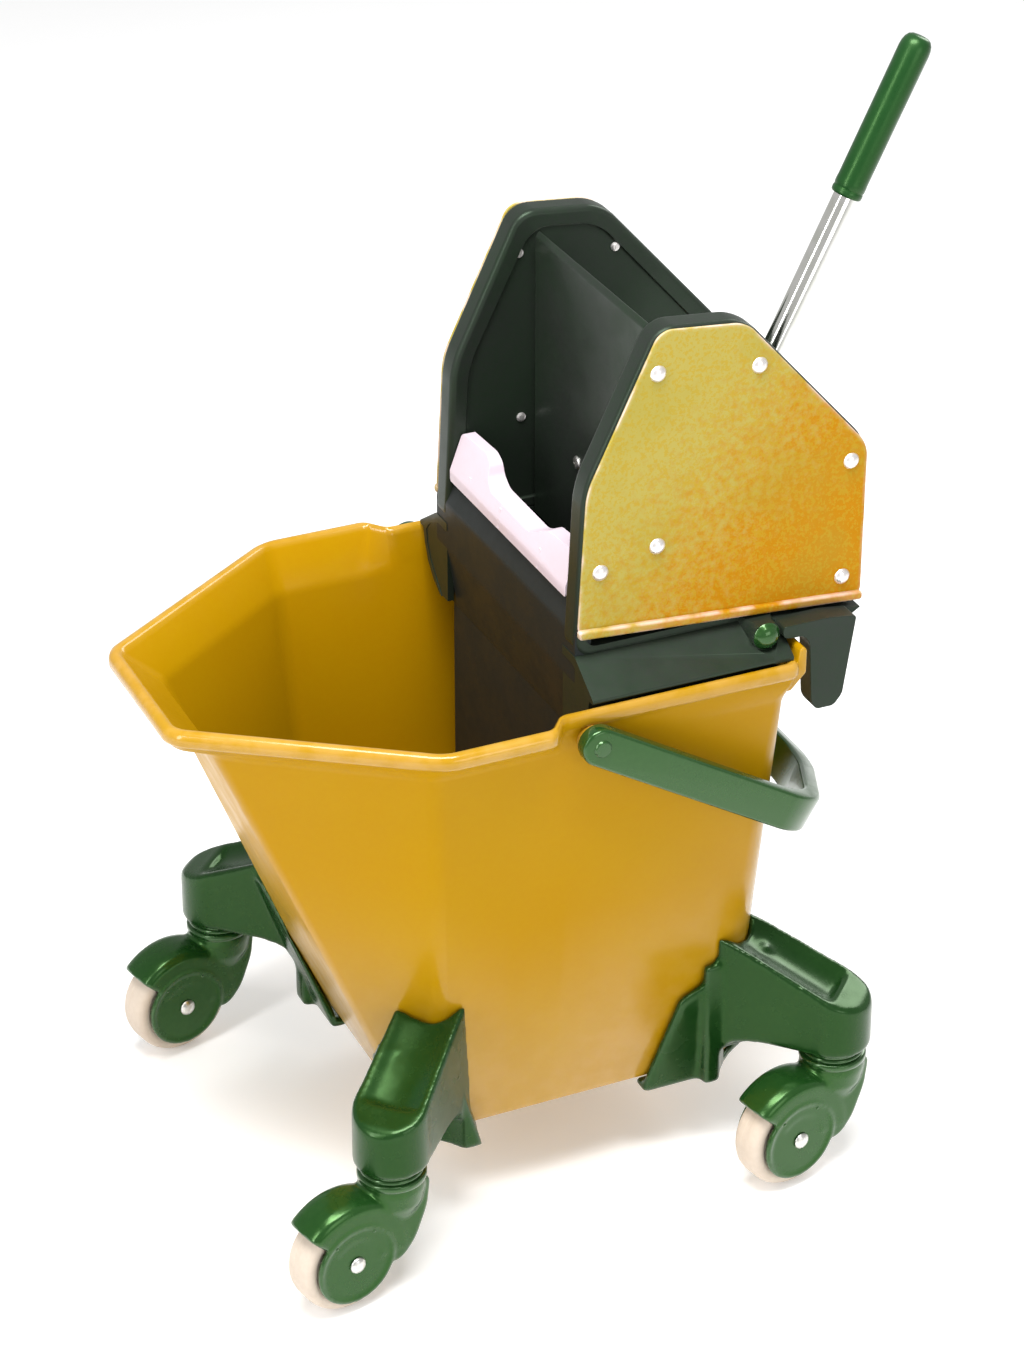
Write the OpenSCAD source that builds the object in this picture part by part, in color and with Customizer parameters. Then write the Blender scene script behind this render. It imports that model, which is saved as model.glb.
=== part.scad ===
// Wheeled mopping bucket with a lever press wringer.
// Frame: +Z up, spout towards -X, wringer and handle at +X, left side is -Y.
// The origin is on the floor, midway between the four caster swivel axes.

/* [Bucket] */
// Half length between the caster swivel axes
track_x = 173; // [165:1:180]
// Half width between the caster swivel axes
track_y = 171; // [165:1:178]
// Underside of the bucket above the floor
base_z = 66; // [62:1:70]
// Top of the side rim above the floor
rim_z = 408; // [400:1:412]
// Wall thickness of the bucket
wall = 4; // [3:0.5:5]
// Half width of the bucket at the top of its walls
bucket_half_w = 150; // [148:1:152]
// Half width of the bucket at its base
base_half_w = 118; // [112:1:122]
// Reach of the spout tip in front of the origin
spout_reach = 284; // [270:1:290]

/* [Casters] */
// Wheel radius
wheel_r = 40; // [38:1:41]
// Wheel width
wheel_w = 25; // [22:1:25]
// Distance of the axle behind the swivel axis
trail = 42; // [38:1:44]
// Angle of the casters as they stand
caster_angle = 12.4; // [-30:0.1:30]

/* [Wringer] */
// Top of the side walls
wringer_top = 662; // [650:1:670]
// Half distance between the inner faces of the side walls
throat_half = 98; // [96:1:100]
// Outer face of the steel side plates
plate_face = 120; // [119:0.5:122]
// Bottom of the hopper that hangs in the bucket
hopper_z = 216; // [200:1:240]

/* [Lever] */
// Length of the lever from the pivot to the end of the grip
lever_len = 400; // [360:1:410]
// Outer diameter of the lever tube
tube_d = 17; // [16:0.5:19]
// Outer diameter of the grip
grip_d = 22.5; // [21:0.5:26]
// Length of the grip
grip_len = 120; // [100:1:140]
// Backward lean of the lever at rest
lever_lean = 26.2; // [20:0.1:30]

/* [Carrying bail] */
// Reach of the bail from its pivot
bail_reach = 243; // [236:1:246]
// Drop of the bail below the horizontal at rest
bail_drop = 31; // [30:0.5:33]
// Height of the bail strap
bail_h = 28; // [22:1:30]

/* [Hidden] */
$fn = 48;
lift = wheel_r - 37;                      // all above the casters is drawn for a 37 mm wheel radius
hull_fn = 28;
pivot = [125, 425];                       // press pivot, x and z
rod_r = 6;                                // press pivot rod
bail_pivot = [-14, 387];                  // x and z
bail_in = 157;                            // inner face of a bail arm
bail_out = 169;                           // outer face of a bail arm
rear_x = 138;                             // outside of the rear wall
base_r = 34;                              // rear corner radius at the base
spout_half = 63;
rim_half_front = 171;
rim_half_rear = 154;
notch_x = -40;                            // where the wide rim steps in
corner_x = -128;                          // where the side turns into the spout
boss_r = 27;
boss_z0 = 99;                             // underside of a leg boss
boss_z1 = 138;                            // outer top edge of a leg boss
stem_top = 132;
stem_r = 5.5;
sleeve_r = 8;
run_fit = 0.05;                           // radial running clearance
neck_top = boss_z0 + lift - 4;            // top of a fork
axle_r = 4;
fork_in = 14;                             // inner face of a fork cheek
fork_out = 17.5;                          // outer face of a fork cheek
hood_r = 48;
cheek_r = 31;                             // round cheek over the axle
side_t = 118;                             // outer face of a moulded side wall
front_x = -12;                            // outside of the hopper front wall
hop_rear_x = 116;                         // outside of the hopper rear wall
hop_half = 112;                           // half width of the hopper in the bucket
press_face = 56;                          // working face of the press at rest
press_half = 94;
rivets = [[46, 630], [121, 622], [194, 537], [191, 449], [48, 503], [6, 492]];
plate_rise = 444;                         // lower front corner of a steel plate
crown_outline = [[-6, 553], [46, wringer_top], [111, wringer_top - 6], [208, 548], [208, 428]];
wall_outline = concat([[front_x, 428]], crown_outline);
plate_outline = concat([[front_x, plate_rise]], crown_outline);
bush_r = 7.5;

// ---------- shared helpers ----------

// Places its child at one corner of the bucket: sx is -1 at the front, sy is -1 on the left
module at_corner(sx, sy) { translate([sx * track_x, sy * track_y, 0]) children(); }

// Places its child in a caster's own frame, where the wheel trails towards -X
module as_caster(sx, sy) { at_corner(sx, sy) rotate([0, 0, caster_angle]) children(); }

// Lifts its child from the drawn height to the height the wheels give it
module carried() { translate([0, 0, lift]) children(); }

// A round bar along Y, centred at x and z
module cross_bar(r, y0, y1, x = 0, z = 0) {
    translate([x, y0, z]) rotate([-90, 0, 0]) cylinder(r = r, h = y1 - y0);
}

// A side view outline given in x and z, extruded from y0 to y1
module slab_xz(y0, y1) {
    translate([0, y1, 0]) rotate([90, 0, 0]) linear_extrude(y1 - y0) children();
}

// An end view outline given in y and z, extruded from x0 to x1
module slab_yz(x0, x1) {
    translate([x0, 0, 0]) rotate([90, 0, 90]) linear_extrude(x1 - x0) children();
}

module both_sides() {
    children();
    mirror([0, 1, 0]) children();
}

// ---------- bucket ----------

module post(x, y, z, r) { translate([x, y, z]) cylinder(r = r, h = 1, $fn = hull_fn); }

// The tapered tub, drawn smaller by inset all round
module tub(inset, z0, z1) {
    k = 9 - inset;
    hull() {
        for (s = [-1, 1]) {
            post(-125 + inset + k, s * (base_half_w - 24 - k), z0, k);
            post(-112 + inset + k, s * (base_half_w - inset - k), z0, k);
            post(rear_x - 5 - base_r, s * (base_half_w - base_r), z0, base_r - inset);
            post(-262 + inset + k, s * (54 - inset), z1, k);
            post(corner_x + 4 + k, s * (bucket_half_w - inset - k), z1, k);
            post(rear_x - inset - k, s * (bucket_half_w - inset - k), z1, k);
        }
    }
}

module rim_shape() {
    offset(r = 9, $fn = hull_fn) offset(delta = -9) polygon([
        [-spout_reach, -spout_half], [corner_x, -rim_half_front], [notch_x - 8, -rim_half_front],
        [notch_x + 6, -rim_half_rear], [rear_x + 6, -rim_half_rear],
        [rear_x + 6, rim_half_rear], [notch_x + 6, rim_half_rear], [notch_x - 8, rim_half_front],
        [corner_x, rim_half_front], [-spout_reach, spout_half]]);
}

// Mouth of the bucket: the rim opens outwards over the front and the spout
module mouth(inset, z0, z1) {
    hull() for (s = [-1, 1]) {
        post(-246 + inset, s * (52 - inset), z0, 2);
        post(corner_x + 2, s * (146 - inset), z0, 2);
        post(notch_x - 16, s * (146 - inset), z0, 2);
        post(-spout_reach + 6 + inset, s * (spout_half - 4 - inset), z1, 6);
        post(corner_x + 4, s * (rim_half_front - 6 - inset), z1, 6);
        post(notch_x - 16, s * (rim_half_front - 6 - inset), z1, 6);
    }
}

module bucket() color("#cf9a18") carried() difference() {
    union() {
        tub(0, base_z, rim_z - 3);
        mouth(0, rim_z - 34, rim_z - 12);
        translate([0, 0, rim_z - 11]) linear_extrude(11) rim_shape();
        // rear lip that the wringer hooks over
        slab_xz(-148, 148) polygon([[130, 384], [138, 384], [150, 396], [150, 416], [145, 416],
                                    [143, 407], [130, 407]]);
        both_sides() cross_bar(10.8, 144, bail_in - 0.4, bail_pivot[0], bail_pivot[1]);
    }
    tub(wall, base_z + wall, rim_z + 2);
    mouth(9, rim_z - 30, rim_z);
    both_sides() cross_bar(5, 146.5, bail_in + 1, bail_pivot[0], bail_pivot[1]);
}

// ---------- legs ----------

// Leg of the front left corner; the other three are its mirror images and quarter turns.
// long_y is true where the long wing lies on the side wall instead of the end wall.
module leg_blank(long_y) {
    dx = track_x - 120;
    dy = track_y - 114;
    short_wing = [[0, 58], [34, 58], [27, 88], [23, 145], [12, 165], [0, 168]];
    long_wing = [[0, 58], [76, 58], [50, 137], [22, 141], [18, 161], [0, 178]];
    difference() {
        union() {
            translate([0, 0, boss_z0]) cylinder(r = boss_r, h = boss_z1 - boss_z0);
            // arched arm from the boss to the corner of the tub
            hull() {
                translate([0, 0, 112]) cylinder(r = boss_r - 1, h = boss_z1 - 112, $fn = hull_fn);
                translate([dx, dy, 118]) cylinder(r = 28, h = 46, $fn = hull_fn);
            }
            // strut that runs down beside the base
            hull() {
                translate([dx - 4, dy - 4, 118]) cylinder(r = 20, h = 20, $fn = hull_fn);
                translate([dx + 12, dy + 12, base_z - 8]) cylinder(r = 22, h = 16, $fn = hull_fn);
            }
            // wings on the two walls
            translate([dx, dy, 0]) slab_xz(-12, 0) polygon(long_y ? long_wing : short_wing);
            translate([dx, dy, 0]) slab_yz(-20, 0) polygon(long_y ? short_wing : long_wing);
        }
        translate([0, 0, boss_z0 - 1]) cylinder(r = sleeve_r, h = stem_top - boss_z0 + 1);
        // room for the caster to turn under the arm
        translate([0, 0, boss_z0 - 50]) cylinder(r = boss_r + 22, h = 49);
        translate([0, 0, 30]) cylinder(r = 80, h = 56);
    }
}

// A leg is cut back to the outside of the tub
module leg(sx, sy) color("#2f5c33") carried() difference() {
    at_corner(sx, sy) mirror([sx > 0 ? 1 : 0, 0, 0]) mirror([0, sy > 0 ? 1 : 0, 0]) leg_blank(sx > 0);
    tub(-0.05, base_z - 0.5, rim_z);
    translate([0, 0, -16]) tub(-0.6, base_z - 0.5, base_z + 18);
}

module leg_front_left() leg(-1, -1);
module leg_front_right() leg(-1, 1);
module leg_rear_left() leg(1, -1);
module leg_rear_right() leg(1, 1);

module stem_sleeves() color("dimgray") carried()
    for (sx = [-1, 1], sy = [-1, 1]) at_corner(sx, sy) translate([0, 0, boss_z0]) difference() {
        cylinder(r = sleeve_r, h = stem_top - boss_z0);
        translate([0, 0, -1]) cylinder(r = stem_r + run_fit, h = stem_top - boss_z0 - 1);
    }

// ---------- casters ----------

// Side view of a fork, given from the axle
module fork_side() {
    circle(r = cheek_r);
    polygon([[62, 38], [57, 34], [50, 12], [40, -4], [0, 0], [-26, 20], [-35, 34],
             [-20, 34], [24, 44], [62, 44]]);
}

module fork(sx, sy) color("#2f5c33") as_caster(sx, sy) difference() {
    union() {
        translate([0, 0, wheel_r + 22]) cylinder(r = 25, h = neck_top - wheel_r - 22);
        translate([-trail, 0, wheel_r]) slab_xz(-fork_out, fork_out) fork_side();
        intersection() {
            cross_bar(hood_r, -fork_out, fork_out, -trail, wheel_r);
            translate([-trail, 0, wheel_r])
                slab_xz(-30, 30) polygon([[-50, 52], [-35, 33], [-8, 10], [42, 10], [42, 52]]);
        }
    }
    // wheel well, open below
    cross_bar(wheel_r + 3, -fork_in, fork_in, -trail, wheel_r);
    translate([-trail - 60, -fork_in, -1]) cube([103, 2 * fork_in, wheel_r + 1]);
    translate([0, 0, wheel_r]) cylinder(r = stem_r, h = neck_top);
    cross_bar(axle_r, -30, 30, -trail, wheel_r);
}

module fork_front_left() fork(-1, -1);
module fork_front_right() fork(-1, 1);
module fork_rear_left() fork(1, -1);
module fork_rear_right() fork(1, 1);

module stem(sx, sy) color("silver") as_caster(sx, sy) {
    translate([0, 0, wheel_r + 42]) cylinder(r = stem_r, h = stem_top + lift - 5 - wheel_r - 42);
}
module stem_front_left() stem(-1, -1);
module stem_front_right() stem(-1, 1);
module stem_rear_left() stem(1, -1);
module stem_rear_right() stem(1, 1);

module swivel_washer(sx, sy) color("#3c6b3c") as_caster(sx, sy)
    translate([0, 0, neck_top]) difference() {
    cylinder(r = 22, h = 3.7);
    translate([0, 0, -1]) cylinder(r = stem_r, h = 6);
}
module swivel_washer_front_left() swivel_washer(-1, -1);
module swivel_washer_front_right() swivel_washer(-1, 1);
module swivel_washer_rear_left() swivel_washer(1, -1);
module swivel_washer_rear_right() swivel_washer(1, 1);

// Axle with a domed head at each end
module axle(sx, sy) color("gainsboro") as_caster(sx, sy) {
    cross_bar(axle_r, -fork_out, fork_out, -trail, wheel_r);
    both_sides() translate([-trail, fork_out, wheel_r]) rotate([-90, 0, 0])
        rotate_extrude() intersection() {
            translate([0, -5]) circle(r = 8.2);
            square([7, 4]);
        }
}
module axle_front_left() axle(-1, -1);
module axle_front_right() axle(-1, 1);
module axle_rear_left() axle(1, -1);
module axle_rear_right() axle(1, 1);

module hub(sx, sy) color("#e6dcc8") as_caster(sx, sy)
    translate([-trail, 0, wheel_r]) rotate([90, 0, 0]) rotate_extrude()
        polygon([[axle_r + 0.06, -wheel_w / 2 - 1], [10, -wheel_w / 2 - 1],
                 [12, -4], [26, -4], [26, -wheel_w / 2 + 3], [30, -wheel_w / 2 + 3],
                 [30, wheel_w / 2 - 3], [26, wheel_w / 2 - 3], [26, 4], [12, 4],
                 [10, wheel_w / 2 + 1], [axle_r + 0.06, wheel_w / 2 + 1]]);
module hub_front_left() hub(-1, -1);
module hub_front_right() hub(-1, 1);
module hub_rear_left() hub(1, -1);
module hub_rear_right() hub(1, 1);

module tread(sx, sy) color("#dccbb0") as_caster(sx, sy)
    translate([-trail, 0, wheel_r]) rotate([90, 0, 0]) rotate_extrude()
        polygon([[30, -wheel_w / 2 + 1], [33, -wheel_w / 2], [wheel_r - 1.5, -wheel_w / 2 + 2],
                 [wheel_r, -wheel_w / 2 + 6], [wheel_r, wheel_w / 2 - 6],
                 [wheel_r - 1.5, wheel_w / 2 - 2], [33, wheel_w / 2], [30, wheel_w / 2 - 1]]);
module tread_front_left() tread(-1, -1);
module tread_front_right() tread(-1, 1);
module tread_rear_left() tread(1, -1);
module tread_rear_right() tread(1, 1);

// ---------- carrying bail ----------

module bail_pins() color("silver") carried() both_sides()
    cross_bar(5, 146.6, bail_in + 8, bail_pivot[0], bail_pivot[1]);

// The bail is drawn level along +X from its pivot, then dropped to rest
module bail_plan() {
    r = bail_reach;
    polygon([[-14, -bail_out], [r - 52, -bail_out], [r, -76], [r, 76], [r - 52, bail_out],
             [-14, bail_out], [-14, bail_in], [r - 60, bail_in], [r - 12, 70], [r - 12, -70],
             [r - 60, -bail_in], [-14, -bail_in]]);
}

module bail_handle() color("#2f5c33") carried()
    translate([bail_pivot[0], 0, bail_pivot[1]]) rotate([0, bail_drop, 0]) difference() {
        intersection() {
            translate([0, 0, -bail_h / 2]) linear_extrude(bail_h) bail_plan();
            union() {
                cross_bar(bail_h / 2, -200, 200);
                translate([0, -200, -bail_h / 2]) cube([300, 400, bail_h]);
            }
        }
        both_sides() cross_bar(5 + run_fit, bail_in - 1, bail_in + 8.5);
    }

// ---------- wringer ----------

// One moulded side wall: a panel with a deep edge flange on its outer side
module side_wall() {
    difference() {
        slab_xz(throat_half, side_t) polygon(wall_outline);
        slab_xz(throat_half + 4, side_t + 1) offset(delta = -7) polygon(wall_outline);
    }
    for (p = rivets) cross_bar(6, throat_half + 2, side_t, p[0], p[1]);
    cross_bar(15, throat_half, side_t, pivot[0], pivot[1] + 4);
}

// Skirt that widens to the bucket rim, and the hook behind the rear lip
module skirt() {
    top = [[throat_half, 431], [side_t, 431], [148, 411], [148, 408.4]];
    slab_yz(front_x + 0.5, 130) polygon(concat(top, [
        [141, 408.4], [139, 397], [133, 384], [124, 374], [hop_half, 366], [hop_half - 4, 366],
        [119, 376], [129, 387], [135, 399], [136, 409], [130, 416], [114, 424], [throat_half, 424]]));
    slab_yz(128, 141) polygon(concat(top, [[134, 408.4], [130, 416], [114, 424], [throat_half, 424]]));
    // closed front end of the skirt
    slab_yz(front_x + 1, front_x + 5) polygon([
        [99, 430.4], [side_t, 430.2], [147, 410.8], [147, 409], [140.5, 409], [138.4, 397.3],
        [132.4, 384.4], [123.5, 374.6], [hop_half, 367], [99, 367]]);
    slab_xz(124, 140) polygon([[136, 423], [141, 421], [154, 421], [157, 414], [160, 360],
                               [187, 360], [196, 428], [170, 431.5], [136, 431.5]]);
    slab_xz(throat_half + 0.5, 126) polygon([[134, 423], [196, 421], [204, 426], [134, 431]]);
    difference() {
        cross_bar(10.5, side_t - 4, 136, pivot[0], pivot[1]);
        translate([pivot[0] - 20, side_t, 433.6]) cube([40, 30, 10]);
    }
}

module hopper() {
    difference() {
        slab_yz(-3, hop_rear_x)
            polygon([[-hop_half, 372], [-hop_half, hopper_z + 10], [-hop_half + 10, hopper_z],
                     [hop_half - 10, hopper_z], [hop_half, hopper_z + 10], [hop_half, 372]]);
        translate([1, -hop_half + 4, hopper_z + 4])
            cube([hop_rear_x - 5, 2 * hop_half - 8, 300]);
        // drain holes in the floor
        for (x = [14 : 29 : 101], y = [-87 : 29 : 87])
            translate([x, y, hopper_z - 1]) cylinder(r = 6, h = 6);
    }
    // front wall up to the sloping lip under the jaw
    slab_xz(-side_t + 1, side_t - 1)
        polygon([[-3, 360], [1, 360], [1, 440], [8, 460], [8, 465], [-4, 465],
                 [front_x + 1, 446], [front_x + 1, 410]]);
    // rear wall of the hopper
    slab_xz(-131, 131) polygon([[hop_rear_x - 4, 360], [hop_rear_x, 360], [hop_rear_x, 400],
                                [hop_rear_x - 4, 400]]);
}

module wringer_frame() color("#2b2f2b") carried() difference() {
    union() {
        both_sides() side_wall();
        both_sides() skirt();
        hopper();
    }
    both_sides() cross_bar(bush_r, throat_half - 1, 150, pivot[0], pivot[1]);
    // seat for a pivot cap
    both_sides() cross_bar(10.8, 135.95, 150, pivot[0], pivot[1]);
    both_sides() for (p = rivets) cross_bar(2, throat_half - 1, side_t + 1, p[0], p[1]);
}

module plate() {
    difference() {
        union() {
            slab_xz(side_t, plate_face) offset(delta = -1.5) polygon(plate_outline);
            // rolled lip along the bottom edge
            slab_xz(side_t, plate_face + 4) polygon([[front_x + 1, plate_rise + 1], [207, 429],
                                                    [207, 435], [front_x + 1, plate_rise + 7]]);
        }
        for (p = rivets) cross_bar(2, side_t - 1, plate_face + 1, p[0], p[1]);
    }
}
module side_plate_left() color("#d9b455") carried() mirror([0, 1, 0]) plate();
module side_plate_right() color("#d9b455") carried() plate();

module rivet_row() {
    for (p = rivets) {
        cross_bar(2, throat_half, plate_face, p[0], p[1]);
        translate([p[0], plate_face, p[1]]) rotate([-90, 0, 0])
            rotate_extrude() intersection() {
                translate([0, -4]) circle(r = 7);
                square([6, 4]);
            }
    }
}
module rivets_left() color("white") carried() mirror([0, 1, 0]) rivet_row();
module rivets_right() color("white") carried() rivet_row();

// Fixed front jaw: a wedge whose top edge dips in the middle
module front_jaw() color("#f4e8ee") carried() intersection() {
    slab_xz(-97, 97) polygon([[-9, 465.2], [10, 465.2], [10, 520], [4, 520], [2, 506], [-9, 474]]);
    slab_yz(-12, 12) polygon([[-97, 465], [97, 465], [97, 503], [52, 506], [44, 496], [34, 486],
                              [-30, 486], [-38, 502], [-48, 507], [-97, 510]]);
}

module pivot_bushes() color("ivory") carried() both_sides() difference() {
    cross_bar(bush_r, throat_half, 136, pivot[0], pivot[1]);
    cross_bar(rod_r + run_fit, throat_half - 1, 137, pivot[0], pivot[1]);
}

module pivot_caps() color("#2f5c33") carried() both_sides()
    translate([pivot[0], 136, pivot[1]]) rotate([-90, 0, 0]) rotate_extrude() intersection() {
        translate([0, -8]) circle(r = 14);
        square([bush_r + 2.5, 6]);
    }

// ---------- press and lever ----------

module press_plate() color("#2b2f2b") carried() difference() {
    union() {
        slab_xz(-press_half, press_half)
            polygon([[press_face, 428], [press_face + 6, 424], [press_face + 12, 430],
                     [press_face + 8, 640], [press_face + 3, 647], [press_face, 643]]);
        for (y = [-84, -50, 45, 79])
            slab_xz(y, y + 5) polygon([[press_face + 7, 426], [100, 420], [96, 470],
                                       [press_face + 18, 620], [press_face + 7, 630]]);
    }
    for (y = [-22, 22], z = [460, 500])
        translate([press_face - 1, y, z]) rotate([0, 90, 0]) cylinder(r = 2.5, h = 20);
}

// Carrier that clamps the lever tube and joins the press plate to the rod
module press_hub() color("#2b2f2b") carried() difference() {
    union() {
        cross_bar(14.5, -93, 93, pivot[0], pivot[1]);
        slab_xz(-32, 32) polygon([[press_face + 12, 430], [123, 411], [134, 436], [118, 474],
                                  [press_face + 11, 520]]);
        both_sides() slab_xz(60, 74) polygon([[press_face + 12, 430], [123, 411], [128, 438],
                                              [press_face + 12, 470]]);
        translate([pivot[0], 0, pivot[1]]) rotate([0, lever_lean, 0]) cylinder(r = 15, h = 86);
    }
    cross_bar(rod_r, -100, 100, pivot[0], pivot[1]);
    translate([pivot[0], 0, pivot[1]]) rotate([0, lever_lean, 0]) {
        translate([0, 0, 14]) cylinder(d = tube_d, h = 90);
        translate([0, 0, 66]) cross_bar(3, -20, 20);
    }
}

module press_screws() color("silver") carried()
    for (y = [-22, 22], z = [460, 500])
        translate([press_face, y, z]) rotate([0, 90, 0]) {
            cylinder(r = 2.5, h = 10.5);
            translate([0, 0, -2]) cylinder(r = 5, h = 2);
        }

module pivot_rod() color("silver") carried() cross_bar(rod_r, -135, 135, pivot[0], pivot[1]);

module lever_tube() color("gainsboro") carried()
    translate([pivot[0], 0, pivot[1]]) rotate([0, lever_lean, 0]) difference() {
        translate([0, 0, 14]) cylinder(d = tube_d, h = lever_len - 20);
        translate([0, 0, 13]) cylinder(d = tube_d - 3, h = lever_len);
        translate([0, 0, 66]) cross_bar(3, -20, 20);
    }

module lever_grip() color("#2f5c33") carried()
    translate([pivot[0], 0, pivot[1]]) rotate([0, lever_lean, 0]) difference() {
        union() {
            translate([0, 0, lever_len - grip_len]) cylinder(d = grip_d, h = grip_len - 11);
            translate([0, 0, lever_len - 11]) sphere(d = grip_d);
        }
        translate([0, 0, lever_len - grip_len - 1]) cylinder(d = tube_d, h = grip_len - 5);
    }

module lever_bolt() color("silver") carried()
    translate([pivot[0], 0, pivot[1]]) rotate([0, lever_lean, 0]) translate([0, 0, 66]) {
        cross_bar(3, -15, 15);
        both_sides() cross_bar(5.5, 15, 18.5);
    }

// Torsion spring on the rod: points along a helix, swept with a round wire
function spring_path(turns, r, pitch, steps) =
    [for (i = [0 : turns * steps]) let (a = 360 * i / steps)
        [r * cos(a), i * pitch / steps, r * sin(a)]];

module sweep(path, r, sides) {
    n = len(path);
    rings = [for (i = [0 : n - 1]) let (
        t = path[min(i + 1, n - 1)] - path[max(i - 1, 0)],
        d = t / norm(t),
        u = cross(d, [0, 1, 0]) / norm(cross(d, [0, 1, 0])),
        v = cross(d, u))
        for (k = [0 : sides - 1]) path[i] + r * (cos(360 * k / sides) * u + sin(360 * k / sides) * v)];
    polyhedron(rings, concat(
        [[for (k = [0 : sides - 1]) k]],
        [for (i = [0 : n - 2], k = [0 : sides - 1]) let (m = (k + 1) % sides)
            [i * sides + k, (i + 1) * sides + k, (i + 1) * sides + m, i * sides + m]],
        [[for (k = [sides - 1 : -1 : 0]) (n - 1) * sides + k]]));
}

module return_spring() color("gray") carried()
    translate([pivot[0], 76.5, pivot[1]]) sweep(spring_path(4, 16.3, 4, 14), 1.4, 6);
module return_spring_left() mirror([0, 1, 0]) return_spring();
module return_spring_right() return_spring();

// ---------- output ----------
bucket();
leg_front_left();
leg_front_right();
leg_rear_left();
leg_rear_right();
stem_sleeves();
bail_pins();
bail_handle();
fork_front_left();
fork_front_right();
fork_rear_left();
fork_rear_right();
stem_front_left();
stem_front_right();
stem_rear_left();
stem_rear_right();
swivel_washer_front_left();
swivel_washer_front_right();
swivel_washer_rear_left();
swivel_washer_rear_right();
axle_front_left();
axle_front_right();
axle_rear_left();
axle_rear_right();
hub_front_left();
hub_front_right();
hub_rear_left();
hub_rear_right();
tread_front_left();
tread_front_right();
tread_rear_left();
tread_rear_right();
wringer_frame();
side_plate_left();
side_plate_right();
rivets_left();
rivets_right();
front_jaw();
pivot_bushes();
pivot_caps();
press_plate();
press_hub();
press_screws();
pivot_rod();
lever_tube();
lever_grip();
lever_bolt();
return_spring_left();
return_spring_right();
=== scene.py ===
from math import cos, pi, radians, sin
import bmesh
import bpy
from mathutils import Matrix, Vector


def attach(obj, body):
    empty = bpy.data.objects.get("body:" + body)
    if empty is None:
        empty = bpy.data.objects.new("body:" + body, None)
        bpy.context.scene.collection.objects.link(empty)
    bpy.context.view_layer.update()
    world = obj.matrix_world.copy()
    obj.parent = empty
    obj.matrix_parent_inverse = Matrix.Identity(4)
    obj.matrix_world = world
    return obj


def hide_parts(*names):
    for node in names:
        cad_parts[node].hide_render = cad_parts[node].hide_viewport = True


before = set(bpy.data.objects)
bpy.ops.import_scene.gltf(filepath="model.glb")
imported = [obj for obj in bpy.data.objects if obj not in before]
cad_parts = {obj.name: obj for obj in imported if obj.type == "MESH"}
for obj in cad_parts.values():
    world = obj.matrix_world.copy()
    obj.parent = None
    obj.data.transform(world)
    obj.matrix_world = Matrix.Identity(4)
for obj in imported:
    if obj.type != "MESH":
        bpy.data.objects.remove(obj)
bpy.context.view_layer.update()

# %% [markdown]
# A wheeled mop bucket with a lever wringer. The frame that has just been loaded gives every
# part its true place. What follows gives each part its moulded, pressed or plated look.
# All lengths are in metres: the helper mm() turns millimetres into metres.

scene = bpy.context.scene


def mm(*values):
    """Millimetres to metres, one number or a vector"""
    return values[0] / 1000 if len(values) == 1 else Vector([v / 1000 for v in values])


# %% [markdown]
# The camera stands well back with a long lens, so the bucket keeps its upright lines. It comes
# first, because the light is judged through it. Depth of field stays off.

# %% Camera
camera_data = bpy.data.cameras.new("camera")
camera_data.lens = 98.63
camera_data.sensor_width = 36
camera = bpy.data.objects.new("camera", camera_data)
camera.location = mm(-948.2, -2083.0, 1651.8)
camera.rotation_euler = (radians(60.469), 0, radians(-24.378))
scene.collection.objects.link(camera)
scene.camera = camera
print("camera with a lens of", camera_data.lens, "mm")

# %% [markdown]
# A studio for a product: a pale floor, a pale surround, one wide soft box overhead and a tall
# one on the left. Glossy plastic shows lamps as bright lines, so the lamps' shapes matter as
# much as their strength.


# %% Light
def soft_box(name, place, target, width, height, watts, colour=(1, 1, 1)):
    """A rectangular lamp that looks at a point"""
    lamp = bpy.data.lights.new(name, "AREA")
    lamp.shape = "RECTANGLE"
    lamp.size, lamp.size_y, lamp.energy, lamp.color = width, height, watts, colour
    obj = bpy.data.objects.new(name, lamp)
    obj.location = place
    obj.rotation_euler = (Vector(target) - Vector(place)).to_track_quat("-Z", "Y").to_euler()
    scene.collection.objects.link(obj)
    return obj


soft_box("overhead", (-0.3, -0.5, 2.3), (0, 0, 0.3), 1.3, 0.8, 60)
soft_box("left_strip", (-1.9, -0.7, 1.3), (0, 0, 0.35), 0.35, 1.6, 19)
soft_box("front_fill", (0.5, -2.4, 1.0), (0, 0, 0.35), 1.2, 0.9, 9)
soft_box("rear_right", (1.8, 0.9, 1.6), (0, 0, 0.4), 0.6, 1.4, 18)
world = bpy.data.worlds.new("studio")
world.use_nodes = True
world.node_tree.nodes["Background"].inputs["Color"].default_value = (1, 1, 1, 1)
world.node_tree.nodes["Background"].inputs["Strength"].default_value = 0.55
scene.world = world
scene.view_settings.view_transform = "Standard"      # keeps strong plastic colours strong

# %% [markdown]
# Effects that several finishes share are node groups. Each puts out colours, values and
# heights only, so the shader itself stays in the material. Group sockets are made with
# interface.new_socket.


# %% Node helpers
def new_group(name, inputs, outputs):
    """An empty node group, with its input and output nodes"""
    tree = bpy.data.node_groups.new(name, "ShaderNodeTree")
    for label, kind, default in inputs:
        socket = tree.interface.new_socket(label, in_out="INPUT", socket_type=f"NodeSocket{kind}")
        if default is not None:
            socket.default_value = default
    for label, kind in outputs:
        tree.interface.new_socket(label, in_out="OUTPUT", socket_type=f"NodeSocket{kind}")
    return tree, tree.nodes.new("NodeGroupInput"), tree.nodes.new("NodeGroupOutput")


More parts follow.
